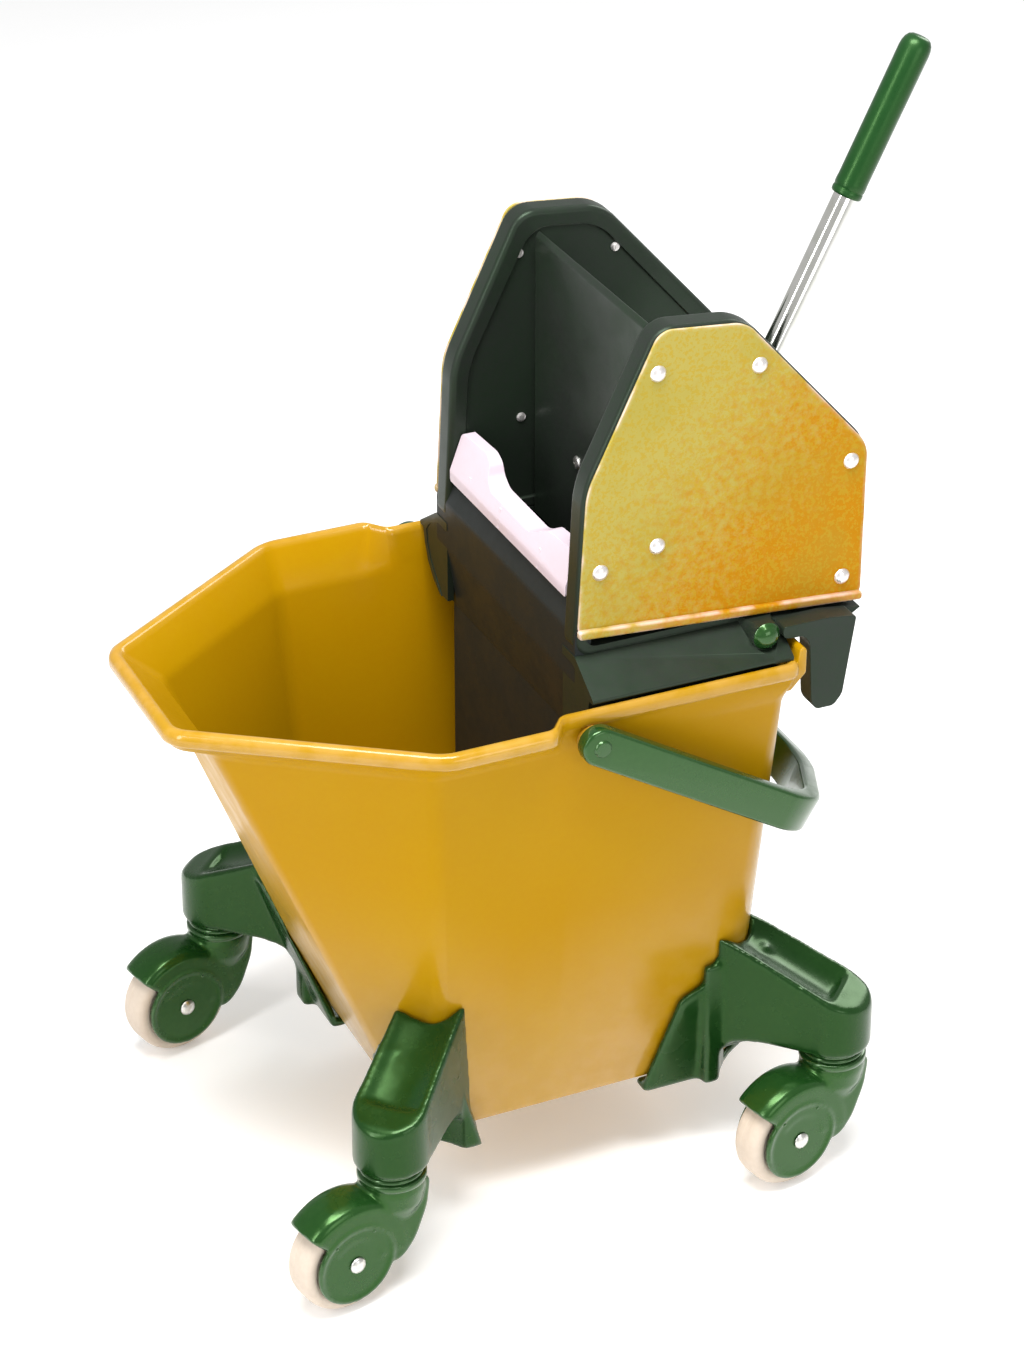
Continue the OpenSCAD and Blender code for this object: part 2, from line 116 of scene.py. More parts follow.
def add(tree, kind, links=(), **settings):
    """A node with its settings, its input values and its input links"""
    node = tree.nodes.new("ShaderNode" + kind)
    for key, value in settings.items():
        setattr(node, key, value)
    for key, value in dict(links).items():
        if isinstance(value, bpy.types.NodeSocket):
            tree.links.new(value, node.inputs[key])
        else:
            node.inputs[key].default_value = value
    return node


def band(tree, value, low, high, to_low=0.0, to_high=1.0, kind="SMOOTHSTEP"):
    """A value rescaled from one range to another"""
    node = add(tree, "MapRange", {0: value, 1: low, 2: high, 3: to_low, 4: to_high})
    node.interpolation_type = kind
    return node.outputs[0]


def blend_colour(tree, amount, first, second):
    node = add(tree, "Mix", {0: amount, 6: first, 7: second}, data_type="RGBA")
    return node.outputs[2]


def calc(tree, operation, a, b=0.0):
    return add(tree, "Math", {0: a, 1: b}, operation=operation).outputs[0]


def noise(tree, where, scale, detail=2.0, rough=0.5):
    return add(tree, "TexNoise", {"Vector": where, "Scale": scale, "Detail": detail,
                                  "Roughness": rough}).outputs["Fac"]


# %% Edge wear and painted highlight group
tree, given, result = new_group("edge_wear_and_highlight",
                                [("Amount", "Float", 0.5), ("Scale", "Float", 60.0)],
                                [("Mask", "Float")])
where = add(tree, "TexCoord").outputs["Object"]
# the mask pales the corners for rubbing and also paints the highlight that light lays along them
corner = band(tree, add(tree, "NewGeometry").outputs["Pointiness"], 0.505, 0.56)
patch = band(tree, noise(tree, where, given.outputs["Scale"], 4), 0.35, 0.65)
tree.links.new(calc(tree, "MULTIPLY", calc(tree, "MULTIPLY", corner, patch),
                    given.outputs["Amount"]), result.inputs["Mask"])
edge_wear_and_highlight = tree
print("group", tree.name, "with", len(tree.nodes), "nodes")

# %% Moulded surface group
tree, given, result = new_group(
    "moulded_surface",
    [("Colour", "Color", (0.5, 0.5, 0.5, 1)), ("Shift", "Color", (0.5, 0.5, 0.5, 1)),
     ("Shift amount", "Float", 0.3), ("Grain scale", "Float", 900.0),
     ("Roughness", "Float", 0.35), ("Rub and highlight", "Float", 0.3)],
    [("Colour", "Color"), ("Roughness", "Float"), ("Height", "Float"), ("Polish", "Float")])
where = add(tree, "TexCoord").outputs["Object"]
cloud = band(tree, noise(tree, where, 9.0, 3), 0.3, 0.7)
speck = band(tree, noise(tree, where, 260.0, 2), 0.35, 0.65)
mottle = calc(tree, "ADD", calc(tree, "MULTIPLY", cloud, 0.65), calc(tree, "MULTIPLY", speck, 0.35))
colour = blend_colour(tree, calc(tree, "MULTIPLY", mottle, given.outputs["Shift amount"]),
                      given.outputs["Colour"], given.outputs["Shift"])
wear_and_highlight = add(tree, "Group")
wear_and_highlight.node_tree = edge_wear_and_highlight
tree.links.new(given.outputs["Rub and highlight"], wear_and_highlight.inputs["Amount"])
# the edges go paler, partly as rubbing and partly as a painted highlight
rubbed_and_highlit = add(tree, "HueSaturation", {"Saturation": 0.85, "Value": 1.35, "Color": colour})
tree.links.new(blend_colour(tree, wear_and_highlight.outputs[0], colour, rubbed_and_highlit.outputs[0]),
               result.inputs["Colour"])
smear = noise(tree, where, 34.0, 5, 0.62)
tree.links.new(calc(tree, "ADD", given.outputs["Roughness"], band(tree, smear, 0.3, 0.7, -0.05, 0.07)),
               result.inputs["Roughness"])
# hands and cloths polish the edges that stand proud
proud = band(tree, add(tree, "NewGeometry").outputs["Pointiness"], 0.50, 0.535)
tree.links.new(proud, result.inputs["Polish"])
grain = noise(tree, where, given.outputs["Grain scale"], 3, 0.6)
waves = noise(tree, where, 14.0, 1)
tree.links.new(calc(tree, "ADD", grain, calc(tree, "MULTIPLY", waves, 1.5)), result.inputs["Height"])
moulded_surface = tree
print("group", tree.name, "with", len(tree.nodes), "nodes")


# %% [markdown]
# Plastics differ in colour, gloss and grain, but a mould leaves the same kinds of marks on all
# of them: a fine grain and slow waves where the wall cooled. Their edges are painted paler, partly
# as rubbing and partly as a painted highlight. One function sets a plastic up from the shared group.


# %% Plastics
def new_material(name):
    material = bpy.data.materials.new(name)
    material.use_nodes = True
    material.node_tree.nodes.clear()
    output = material.node_tree.nodes.new("ShaderNodeOutputMaterial")
    shader = material.node_tree.nodes.new("ShaderNodeBsdfPrincipled")
    material.node_tree.links.new(shader.outputs[0], output.inputs["Surface"])
    return material, material.node_tree, shader


def plastic(name, colour, shift, amount, grain, rough, rub_and_highlight, bump, coat=0.0, coat_rough=0.1,
            gleam=0.5, tint=(1, 1, 1)):
    """A moulded plastic; gleam and tint set how strong and how coloured its highlights are"""
    material, tree, shader = new_material(name)
    mould = add(tree, "Group")
    mould.node_tree = moulded_surface
    for key, value in {"Colour": (*colour, 1), "Shift": (*shift, 1), "Shift amount": amount,
                       "Grain scale": grain, "Roughness": rough, "Rub and highlight": rub_and_highlight}.items():
        mould.inputs[key].default_value = value
    tree.links.new(mould.outputs["Colour"], shader.inputs["Base Color"])
    tree.links.new(mould.outputs["Roughness"], shader.inputs["Roughness"])
    ripple = add(tree, "Bump", {"Height": mould.outputs["Height"], "Strength": bump,
                                "Distance": mm(0.2)})
    tree.links.new(ripple.outputs[0], shader.inputs["Normal"])
    if coat:
        tree.links.new(calc(tree, "MULTIPLY", mould.outputs["Polish"], coat), shader.inputs["Coat Weight"])
    shader.inputs["Coat Roughness"].default_value = coat_rough
    shader.inputs["Specular IOR Level"].default_value = gleam
    shader.inputs["Specular Tint"].default_value = (*tint, 1)
    print("plastic", name)
    return material


LEAFY = (0.5, 1.0, 0.36)
bucket_yellow = plastic("bucket_yellow", (0.42, 0.228, 0.001), (0.40, 0.18, 0.001), 0.35,
                        1100, 0.36, 0.45, 0.2, 0.9, 0.16, 0.1, (1.0, 0.8, 0.4))
green_gloss = plastic("green_gloss", (0.006, 0.036, 0.006), (0.014, 0.052, 0.010), 0.6,
                      700, 0.22, 0.35, 0.08, 0.5, 0.08, 0.6, LEAFY)
green_leg = plastic("green_leg", (0.0035, 0.024, 0.004), (0.008, 0.036, 0.006), 0.6,
                    700, 0.24, 0.35, 0.08, 0.35, 0.1, 0.42, LEAFY)
green_grip = plastic("green_grip", (0.005, 0.036, 0.008), (0.010, 0.05, 0.012), 0.5,
                     900, 0.3, 0.3, 0.2, 0.1, 0.2, 0.5, LEAFY)
black_satin = plastic("black_satin", (0.018, 0.020, 0.018), (0.013, 0.024, 0.013), 0.8,
                      1300, 0.34, 0.12, 0.2, gleam=0.26, tint=(0.72, 1.0, 0.72))
black_matt = plastic("black_matt", (0.019, 0.021, 0.021), (0.014, 0.018, 0.016), 0.6,
                     1300, 0.42, 0.1, 0.2, gleam=0.14, tint=(0.72, 0.88, 0.9))
jaw_white = plastic("jaw_white", (0.68, 0.57, 0.64), (0.63, 0.53, 0.58), 0.5,
                    1000, 0.38, 0.1, 0.2)
wheel_cream = plastic("wheel_cream", (0.60, 0.51, 0.42), (0.52, 0.43, 0.34), 0.7,
                      500, 0.55, 0.2, 0.35, gleam=0.3)
hub_cream = plastic("hub_cream", (0.66, 0.58, 0.46), (0.60, 0.52, 0.42), 0.5,
                    800, 0.42, 0.2, 0.2)
bush_ivory = plastic("bush_ivory", (0.74, 0.70, 0.58), (0.70, 0.64, 0.52), 0.5, 900, 0.35, 0.1, 0.1)
sleeve_grey = plastic("sleeve_grey", (0.10, 0.10, 0.10), (0.13, 0.13, 0.13), 0.5, 900, 0.4, 0.1, 0.1)

# %% [markdown]
# The side plates are steel with a yellow passivated coat. It is not one colour: the bath leaves
# straw to amber patches with soft grey-gold flecks, and it is deeper towards the lower rear
# corner. A large slope carries the change, and two sizes of noise carry the patches and flecks.

# %% Passivated plate
passivated, tree, shader = new_material("passivated_steel")
where = add(tree, "TexCoord").outputs["Object"]
centred = add(tree, "Mapping", {"Vector": where, "Location": mm(-100, 0, -545),
                                "Scale": (1, 1, 1)}).outputs[0]
axes = add(tree, "SeparateXYZ", {0: centred})
slope = calc(tree, "SUBTRACT", calc(tree, "MULTIPLY", axes.outputs[0], 6.0),
             calc(tree, "MULTIPLY", axes.outputs[2], 5.2))
patch = noise(tree, where, 160.0, 6, 0.7)
amber = band(tree, calc(tree, "ADD", slope, band(tree, patch, 0.3, 0.7, -0.35, 0.35)), -0.5, 0.6)
base = blend_colour(tree, amber, (0.40, 0.33, 0.075, 1), (0.45, 0.19, 0.001, 1))
fleck = band(tree, noise(tree, where, 420.0, 3, 0.6), 0.5, 0.58)
base = blend_colour(tree, calc(tree, "MULTIPLY", fleck, 0.6), base, (0.42, 0.275, 0.014, 1))
cloudy = band(tree, noise(tree, where, 16.0, 3), 0.45, 0.7)
base = blend_colour(tree, calc(tree, "MULTIPLY", cloudy, 0.3), base, (0.32, 0.265, 0.03, 1))
# the pale pink edge colour is a painted highlight along the bevelled rim, partly also rubbing
wear_and_highlight = add(tree, "Group")
wear_and_highlight.node_tree = edge_wear_and_highlight
wear_and_highlight.inputs["Amount"].default_value = 0.9
tree.links.new(blend_colour(tree, wear_and_highlight.outputs[0], base, (0.80, 0.62, 0.60, 1)),
               shader.inputs["Base Color"])
tree.links.new(band(tree, patch, 0.3, 0.7, 0.42, 0.58), shader.inputs["Roughness"])
tree.links.new(band(tree, fleck, 0.0, 1.0, 0.16, 0.08), shader.inputs["Metallic"])
height = calc(tree, "ADD", noise(tree, where, 420.0, 4, 0.7), calc(tree, "MULTIPLY", fleck, 0.4))
tree.links.new(add(tree, "Bump", {"Height": height, "Strength": 0.25, "Distance": mm(0.15)}).outputs[0],
               shader.inputs["Normal"])
shader.inputs["Specular IOR Level"].default_value = 0.15
shader.inputs["Specular Tint"].default_value = (1.0, 0.8, 0.45, 1)
print("passivated plate from", len(tree.nodes), "nodes")

# %% [markdown]
# Bright metal parts: zinc on screws, rivets and axles, chrome on the lever tube. Brushed and
# tumbled metal is never evenly bright, so its roughness and its bump follow a stretched or
# clouded noise.


# %% Bright metals
def bright_metal(name, colour, dull, rough, spread, scale, stretch, bump, metallic=1.0):
    material, tree, shader = new_material(name)
    where = add(tree, "TexCoord").outputs["Object"]
    drawn = add(tree, "Mapping", {"Vector": where, "Scale": stretch}).outputs[0]
    cloud = noise(tree, drawn, scale, 4, 0.6)
    # paler edges: rubbed metal and a painted highlight together
    wear_and_highlight = add(tree, "Group")
    wear_and_highlight.node_tree = edge_wear_and_highlight
    wear_and_highlight.inputs["Amount"].default_value = 0.5
    shade = blend_colour(tree, band(tree, cloud, 0.3, 0.7), (*colour, 1), (*dull, 1))
    tree.links.new(blend_colour(tree, wear_and_highlight.outputs[0], shade, (0.9, 0.88, 0.86, 1)),
                   shader.inputs["Base Color"])
    tree.links.new(band(tree, cloud, 0.3, 0.7, rough, rough + spread), shader.inputs["Roughness"])
    tree.links.new(add(tree, "Bump", {"Height": cloud, "Strength": bump,
                                      "Distance": mm(0.05)}).outputs[0], shader.inputs["Normal"])
    shader.inputs["Metallic"].default_value = metallic
    print("metal", name)
    return material


zinc = bright_metal("zinc_plate", (0.72, 0.71, 0.68), (0.55, 0.54, 0.50), 0.28, 0.16, 220, (1, 1, 1), 0.3)
rivet_zinc = bright_metal("rivet_zinc", (0.90, 0.86, 0.84), (0.72, 0.68, 0.66), 0.25, 0.15, 300,
                          (1, 1, 1), 0.3, 0.8)
chrome = bright_metal("tube_chrome", (0.80, 0.80, 0.76), (0.72, 0.73, 0.66), 0.08, 0.06, 60,
                      (6, 6, 0.4), 0.1)
spring_steel = bright_metal("spring_steel", (0.34, 0.34, 0.35), (0.22, 0.22, 0.23), 0.3, 0.15, 180,
                            (1, 1, 1), 0.3)

# %% [markdown]
# Most pieces are made in the same three steps: a bmesh is shaped with operators, it becomes an
# object, and the object is told which body it rides on and which plain part it stands for.
# Shading is smooth, with sharp lines only where two faces meet at a clear angle.


# %% From bmesh to piece
def to_object(name, bm, closed=True):
    """An object from a bmesh, with doubles merged and faces outward"""
    bmesh.ops.remove_doubles(bm, verts=bm.verts, dist=1e-6)
    if closed:
        bmesh.ops.recalc_face_normals(bm, faces=bm.faces)
    mesh = bpy.data.meshes.new(name)
    bm.to_mesh(mesh)
    bm.free()
    obj = bpy.data.objects.new(name, mesh)
    scene.collection.objects.link(obj)
    return obj


def apply_modifiers(obj):
    """Makes the shape that the modifiers give the real mesh"""
    bpy.context.view_layer.update()
    shaped = obj.evaluated_get(bpy.context.evaluated_depsgraph_get())
    mesh = bpy.data.meshes.new_from_object(shaped)
    obj.modifiers.clear()
    obj.data = mesh
    return obj


def finish_piece(obj, material, body, stands_for=(), sharp=32):
    obj.data.materials.clear()
    obj.data.materials.append(material)
    obj.data.shade_smooth()
    obj.data.set_sharp_from_angle(angle=radians(sharp))
    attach(obj, body)
    if stands_for:
        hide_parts(*stands_for)
    print(f"{obj.name}: {len(obj.data.polygons)} faces, rides on {body}")
    return obj


def soften(obj, width, segments=3, angle=30):
    """Rounds the edges that are sharper than an angle"""
    edge = obj.modifiers.new("round", "BEVEL")
    edge.width, edge.segments, edge.limit_method, edge.angle_limit = width, segments, "ANGLE", radians(angle)
    edge.harden_normals = False
    even = obj.modifiers.new("even", "WEIGHTED_NORMAL")
    even.keep_sharp = True
    return obj


# %% [markdown]
# Some shapes are a stack of rounded outlines, like the contour lines of a tub. Each outline
# starts as a polygon whose corners are bevelled, its face is dropped, and neighbouring outlines
# are bridged.


# %% Outlines, prisms and stacks
def outline(bm, corners, z, radius, segments=5):
    """The edges of a polygon at a height, with one radius or one for each corner"""
    verts = [bm.verts.new((x, y, z)) for x, y in corners]
    bm.faces.new(verts)
    radii = radius if isinstance(radius, list) else [radius] * len(verts)
    for vert, corner_radius in zip(verts, radii):
        bmesh.ops.bevel(bm, geom=[vert], offset=corner_radius, segments=segments, profile=0.5,
                        affect="VERTICES", material=-1, clamp_overlap=True)
    face = [f for f in bm.faces if all(abs(v.co.z - z) < 1e-7 for v in f.verts)][-1]
    edges = list(face.edges)
    bmesh.ops.delete(bm, geom=[face], context="FACES_ONLY")
    return edges


def stack(bm, levels, closed_bottom=True, closed_top=True):
    """Bridges outlines from one level to the next; a level is (corners, z, radius)"""
    rings = [outline(bm, *level) for level in levels]
    for lower, upper in zip(rings, rings[1:]):
        bmesh.ops.bridge_loops(bm, edges=lower + upper)
    for ring, wanted in ((rings[0], closed_bottom), (rings[-1], closed_top)):
        if wanted:
            bmesh.ops.edgeloop_fill(bm, edges=ring)
    return rings


def prism(name, corners, low, high, axis="Y", radius=0.0, segments=5, edge=0.0, edge_segments=3):
    """A polygon with rounded corners, extruded along an axis, its rims bevelled"""
    bm = bmesh.new()
    verts = [bm.verts.new((a, b, 0)) for a, b in corners]
    face = bm.faces.new(verts)
    if radius:
        bmesh.ops.bevel(bm, geom=verts, offset=radius, segments=segments, profile=0.5,
                        affect="VERTICES", material=-1, clamp_overlap=True)
        face = bm.faces[:][0]
    moved = bmesh.ops.extrude_face_region(bm, geom=[face])
    top = [g for g in moved["geom"] if isinstance(g, bmesh.types.BMVert)]
    bmesh.ops.translate(bm, verts=top, vec=(0, 0, high - low))
    bmesh.ops.translate(bm, verts=bm.verts, vec=(0, 0, low))
    bmesh.ops.recalc_face_normals(bm, faces=bm.faces)
    if edge:
        rims = [e for e in bm.edges if abs(e.verts[0].co.z - e.verts[1].co.z) < 1e-7]
        bmesh.ops.bevel(bm, geom=rims, offset=edge, segments=edge_segments, profile=0.5,
                        affect="EDGES", material=-1, clamp_overlap=True)
    if axis == "Y":
        bmesh.ops.transform(bm, matrix=Matrix(((1, 0, 0, 0), (0, 0, 1, 0), (0, 1, 0, 0), (0, 0, 0, 1))),
                            verts=bm.verts)
    elif axis == "X":
        bmesh.ops.transform(bm, matrix=Matrix(((0, 0, 1, 0), (1, 0, 0, 0), (0, 1, 0, 0), (0, 0, 0, 1))),
                            verts=bm.verts)
    return to_object(name, bm)


def turned(name, profile, steps=64, place=Matrix.Identity(4)):
    """A lathe piece: a profile of (radius, height) spun round Z, then put in place"""
    bm = bmesh.new()
    verts = [bm.verts.new((r, 0, z)) for r, z in profile]
    edges = [bm.edges.new(pair) for pair in zip(verts, verts[1:])]
    bmesh.ops.spin(bm, geom=verts + edges, cent=(0, 0, 0), axis=(0, 0, 1), angle=2 * pi,
                   steps=steps, use_merge=True)
    bmesh.ops.remove_doubles(bm, verts=bm.verts, dist=1e-6)
    bmesh.ops.transform(bm, matrix=place, verts=bm.verts)
    return to_object(name, bm)


def joined(name, objects):
    """One mesh from several objects, which are removed"""
    bm = bmesh.new()
    for obj in objects:
        bm.from_mesh(obj.data)
        bpy.data.objects.remove(obj)
    mesh = bpy.data.meshes.new(name)
    bm.to_mesh(mesh)
    bm.free()
    obj = bpy.data.objects.new(name, mesh)
    scene.collection.objects.link(obj)
    return obj


def both(points):
    """An outline from its half with y above zero"""
    return list(points) + [(x, -y) for x, y in reversed(points)]


def scaled(points):
    return [(a / 1000, b / 1000) for a, b in points]


ALONG_Y = Matrix.Rotation(radians(-90), 4, "X")
print("tools ready")

# %% [markdown]
# The bucket is one blow of polypropylene: a tapered tub with a pouring spout, a mouth that
# opens outwards, and a rolled rim with a narrow band below it. It could be a box with a
# cut-out, but light runs along a rolled rim, so the wall is followed from the foot up the
# outside, over the rim and down the inside, as one closed stack.


# %% Bucket
def tub_level(z, inset):
    """Corners of the tub wall at a height, drawn in by an inset"""
    t = (z - 69) / 342
    tip = -125 + t * (-262 + 125)
    side = 118 + t * 32
    return scaled(both([(tip + inset, 94 + t * (54 - 94) - inset * 0.5),
                        (-112 - 16 * t + inset * 0.3, side - inset), (-60, side - inset),
                        (-30, side - inset), (133 + 5 * t - inset, side - inset)]))


def rim_level(inset, rear_inset=None):
    rear = inset if rear_inset is None else rear_inset
    return scaled(both([(-284 + inset, 63 - inset * 0.6), (-128 + inset * 0.2, 171 - inset),
                        (-48, 171 - inset), (-36, 154 - rear), (144 - rear, 154 - rear)]))


def corner_radii(spout, side, notch, rear):
    """Radii in the order of the corners, the same on both sides"""
    half = [mm(spout), mm(side), mm(notch), mm(notch), mm(rear)]
    return half + half[::-1]


def tub_ring(z, inset, at=None):
    """One outline of the wall; its rear corners are widest at the foot, clear of the wheels"""
    rear = 34 - 25 * (z - 69) / 342 - inset
    return (tub_level(z, inset), mm(z if at is None else at), corner_radii(7, 7, 7, max(rear, 3)))


def rim_ring(inset, rear_inset, z, loss=0.0):
    return (rim_level(inset, rear_inset), mm(z), corner_radii(11 - loss, 11 - loss, 5 - loss / 3, 7 - loss / 2))


levels = [tub_ring(69, 7), tub_ring(71, 2, 70.8), tub_ring(76, 0), tub_ring(240, 0), tub_ring(378, 0),
          tub_ring(384, -1.5), rim_ring(7, 3, 394, 3), rim_ring(3, 2, 399, 1),
          rim_ring(0.8, 0.5, 400.2), rim_ring(0, 0, 402), rim_ring(0, 0, 406.5),
          rim_ring(1.2, 0.8, 409.2, 0.5), rim_ring(3.8, 2.2, 410.8, 1.5), rim_ring(6.5, 4.5, 410.9, 3),
          rim_ring(9, 6.5, 409.4, 4), rim_ring(11, 8, 406, 5), tub_ring(384, 2.6), tub_ring(376, 4),
          tub_ring(240, 4), tub_ring(82, 4), tub_ring(75, 8, 75.5), tub_ring(73, 16)]
bm = bmesh.new()
stack(bm, levels)
bucket = to_object("bucket_shell", bm)
print("bucket wall from", len(levels), "outlines")
lip = prism("lip", scaled([(133, 388), (139, 388), (150.4, 400), (150.4, 418), (147.5, 420.5),
                           (145, 418), (143.5, 409), (133, 409)]), mm(-148.5), mm(148.5),
            radius=mm(1.2), segments=3, edge=mm(2))
pads = [turned("pad", [(0, 0), (mm(10.6), 0), (mm(10.6), mm(side * 7.2)), (mm(8.4), mm(side * 8.6)), (0, mm(side * 8.6))],
               48, Matrix.Translation(mm(-14, side * 147.8, 390)) @ ALONG_Y) for side in (-1, 1)]
bucket = joined("bucket_shell", [bucket, lip] + pads)
finish_piece(bucket, bucket_yellow, "bucket", ["bucket"], 40)

# %% [markdown]
# Legs and forks are green mouldings with soft edges everywhere. They could be modelled face by
# face, but moulded shapes like these are really solids that melt into each other. So simple
# solids are cut with each other, then remeshed finely and smoothed, which rounds every edge the
# way a mould does.


# %% Cutting and melting solids
def cut(obj, other, how="DIFFERENCE", keep=False):
    """Cuts, joins or crosses one solid with another"""
    step = obj.modifiers.new(how.lower(), "BOOLEAN")
    step.operation, step.object, step.solver = how, other, "EXACT"
    apply_modifiers(obj)
    if not keep:
        bpy.data.objects.remove(other)
    return obj


def melt(obj, voxel, rounds, factor=0.5):
    """Remeshes a solid to an even skin and smooths it"""
    step = obj.modifiers.new("skin", "REMESH")
    step.mode, step.voxel_size, step.adaptivity = "VOXEL", voxel, 0
    apply_modifiers(obj)
    bm = bmesh.new()
    bm.from_mesh(obj.data)
    for _ in range(rounds):
        bmesh.ops.smooth_vert(bm, verts=bm.verts, factor=factor, use_axis_x=True, use_axis_y=True,
                              use_axis_z=True)
    bm.to_mesh(obj.data)
    bm.free()
    return obj


def placed(obj, matrix):
    obj.data.transform(matrix)
    if matrix.determinant() < 0:
        obj.data.flip_normals()
    return obj


def rod(name, radius, start, end, steps=48):
    """A plain bar between two points, as a cutting or joining solid"""
    start, end = Vector(start), Vector(end)
    bm = bmesh.new()
    bmesh.ops.create_cone(bm, cap_ends=True, cap_tris=False, segments=steps, radius1=radius,
                          radius2=radius, depth=(end - start).length)
    turn = (end - start).to_track_quat("Z", "Y").to_matrix().to_4x4()
    bmesh.ops.transform(bm, matrix=Matrix.Translation((start + end) / 2) @ turn, verts=bm.verts)
    return to_object(name, bm)


def tub_block(grow):
    """The outside of the tub as a solid, to cut the legs back to"""
    bm = bmesh.new()
    stack(bm, [tub_ring(69, grow, 66), tub_ring(76, grow), tub_ring(150, grow), tub_ring(280, grow)])
    return to_object("tub_block", bm)


# %% [markdown]
# A leg reaches from the corner of the tub out over its caster. Seen from the side it slopes
# down to a round boss and arches over the wheel; seen from above it is as wide as the boss. Its
# top is dished, so its two edges catch the light, and a wing spreads on each wall.


# %% Legs
SWIVEL = {"front_left": (-173, -171), "front_right": (-173, 171),
          "rear_left": (173, -171), "rear_right": (173, 171)}


def arm_solid(turn, reach):
    """The arm in its own line, boss at the origin, then turned towards the tub"""
    side = prism("side", scaled([(-29, 101.6), (-29, 136), (-22, 141.5), (-8, 146), (reach, 176),
                                 (reach + 30, 186), (reach + 30, 84), (80, 90), (70, 95.5),
                                 (58, 99.5), (44, 101.4), (34, 101.6)]), mm(-40), mm(40))
    bm = bmesh.new()
    bmesh.ops.create_cone(bm, cap_ends=True, cap_tris=False, segments=64, radius1=mm(27.5),
                          radius2=mm(26.5), depth=mm(140))
    bmesh.ops.translate(bm, verts=bm.verts, vec=mm(0, 0, 130))
    plan = to_object("plan", bm)
    far = prism("far", scaled([(0, -26.5), (reach + 40, -23), (reach + 40, 23), (0, 26.5)]),
                mm(60), mm(200), axis="Z")
    cut(plan, far, "UNION")
    arm = cut(side, plan, "INTERSECT")
    # the dish along the top, which starts behind the rim of the boss
    slope = mm(reach, 0, 176) - mm(-8, 0, 146)
    rise = Vector((-slope.z, 0, slope.x)).normalized()
    start = mm(-2, 0, 148) + rise * mm(33)
    cut(arm, rod("dish", mm(39), start, start + slope * 2.2, 96))
    return placed(arm, Matrix.Rotation(turn, 4, "Z"))


def leaning(along, across, lean):
    """A shear that leans a wing with its wall, from the foot of the tub up"""
    matrix = Matrix.Identity(4)
    matrix[along][2] = -lean
    matrix[along][3] = lean * mm(69) + across
    return matrix


def leg(corner, long_side):
    x, y = SWIVEL[corner]
    arm = arm_solid(radians(45), 62 if x < 0 else 58)
    short = [(-20, 60), (34, 60), (32, 76), (9, 142), (-2, 160), (-20, 164)]
    long = [(-20, 60), (76, 60), (74, 70), (50, 138), (26, 150), (2, 166), (-20, 170)]
    if not long_side:
        long = [(-20, 60), (70, 60), (68, 70), (42, 118), (20, 138), (0, 158), (-20, 164)]
    wall = prism("side_wing", scaled(long if long_side else short), mm(46), mm(90), radius=mm(3))
    end = prism("end_wing", scaled(short if long_side else long), mm(40), mm(84), axis="X", radius=mm(3))
    placed(wall, leaning(1, 0, 32 / 342) @ Matrix.Translation(mm(53, 0, 0)))
    placed(end, leaning(0, 0, 0.30 if x < 0 else -5 / 342) @ Matrix.Translation(mm(0, 57, 0)))
    cut(arm, wall, "UNION")
    cut(arm, end, "UNION")
    cut(arm, rod("sweep", mm(81), mm(0, 0, 30), mm(0, 0, 89), 96))
    cut(arm, rod("under", mm(50), mm(0, 0, 60), mm(0, 0, 101.7)))
    facing = Matrix.Diagonal((1 if x < 0 else -1, 1 if y < 0 else -1, 1, 1))
    placed(arm, Matrix.Translation(mm(x, y, 0)) @ facing)
    cut(arm, tub_block(-0.3))
    inner = prism("inner", scaled([(-112, -88), (128, -88), (128, 88), (-112, 88)]), mm(40), mm(300), axis="Z")
    cut(arm, inner)
    base = prism("base", scaled([(-116, -109), (124, -109), (124, 109), (-116, 109)]), mm(40), mm(74), axis="Z",
                 radius=mm(30))
    cut(arm, base)
    melt(arm, mm(1.5), 15)
    arm.name = "leg_" + corner
    return finish_piece(arm, green_leg, "bucket", ["leg_" + corner], 180)


for corner in SWIVEL:
    leg(corner, corner.startswith("rear"))

# %% [markdown]
# Each caster stands in its own line: its swivel axis is upright at the leg's boss, and its
# wheel trails behind. A piece is made once with the swivel at the origin and the wheel trailing
# towards -X, and a copy of the mesh is then turned and moved to each corner.


# %% Casters in place
STAND = Matrix.Rotation(radians(12.4), 4, "Z")
TRAIL, WHEEL = mm(42), mm(40)


def profile(points):
    return [(r / 1000, z / 1000) for r, z in points]


def at_casters(name, obj, material, group, sharp=32, parts=()):
    """A copy of one caster piece at each corner, each on its own body"""
    for corner, (x, y) in SWIVEL.items():
        copy = bpy.data.objects.new(f"{name}_{corner}", obj.data.copy())
        scene.collection.objects.link(copy)
        copy.data.transform(Matrix.Translation(mm(x, y, 0)) @ STAND)
        finish_piece(copy, material, f"{group}_{corner}",
                     [f"{p}_{corner}" for p in (parts or (name,))], sharp)
    bpy.data.objects.remove(obj)


# %% [markdown]
# The fork is a hood over the wheel with a round cheek on each side and a collar on top. The
# hood is a rounded channel spun round the axle. The cheeks, the leading column and the collar
# are joined to it and the whole is melted, then the wheel well is cut with a clean edge.


# %% Forks
def hood_section():
    """Half a turn of a channel round the axle, from its front tip to the column"""
    bm = bmesh.new()
    section = [(20, -17.5), (42, -17.5), (46.5, -15), (48.6, -9), (49, 0), (48.6, 9),
               (46.5, 15), (42, 17.5), (20, 17.5)]
    verts = [bm.verts.new(mm(r, y, 0)) for r, y in section]
    face = bm.faces.new(verts)
    bmesh.ops.rotate(bm, verts=verts, matrix=Matrix.Rotation(radians(-137), 3, "Y"))
    bmesh.ops.spin(bm, geom=[face], cent=(0, 0, 0), axis=(0, 1, 0), angle=radians(142),
                   steps=48, use_merge=False)
    return to_object("hood", bm)


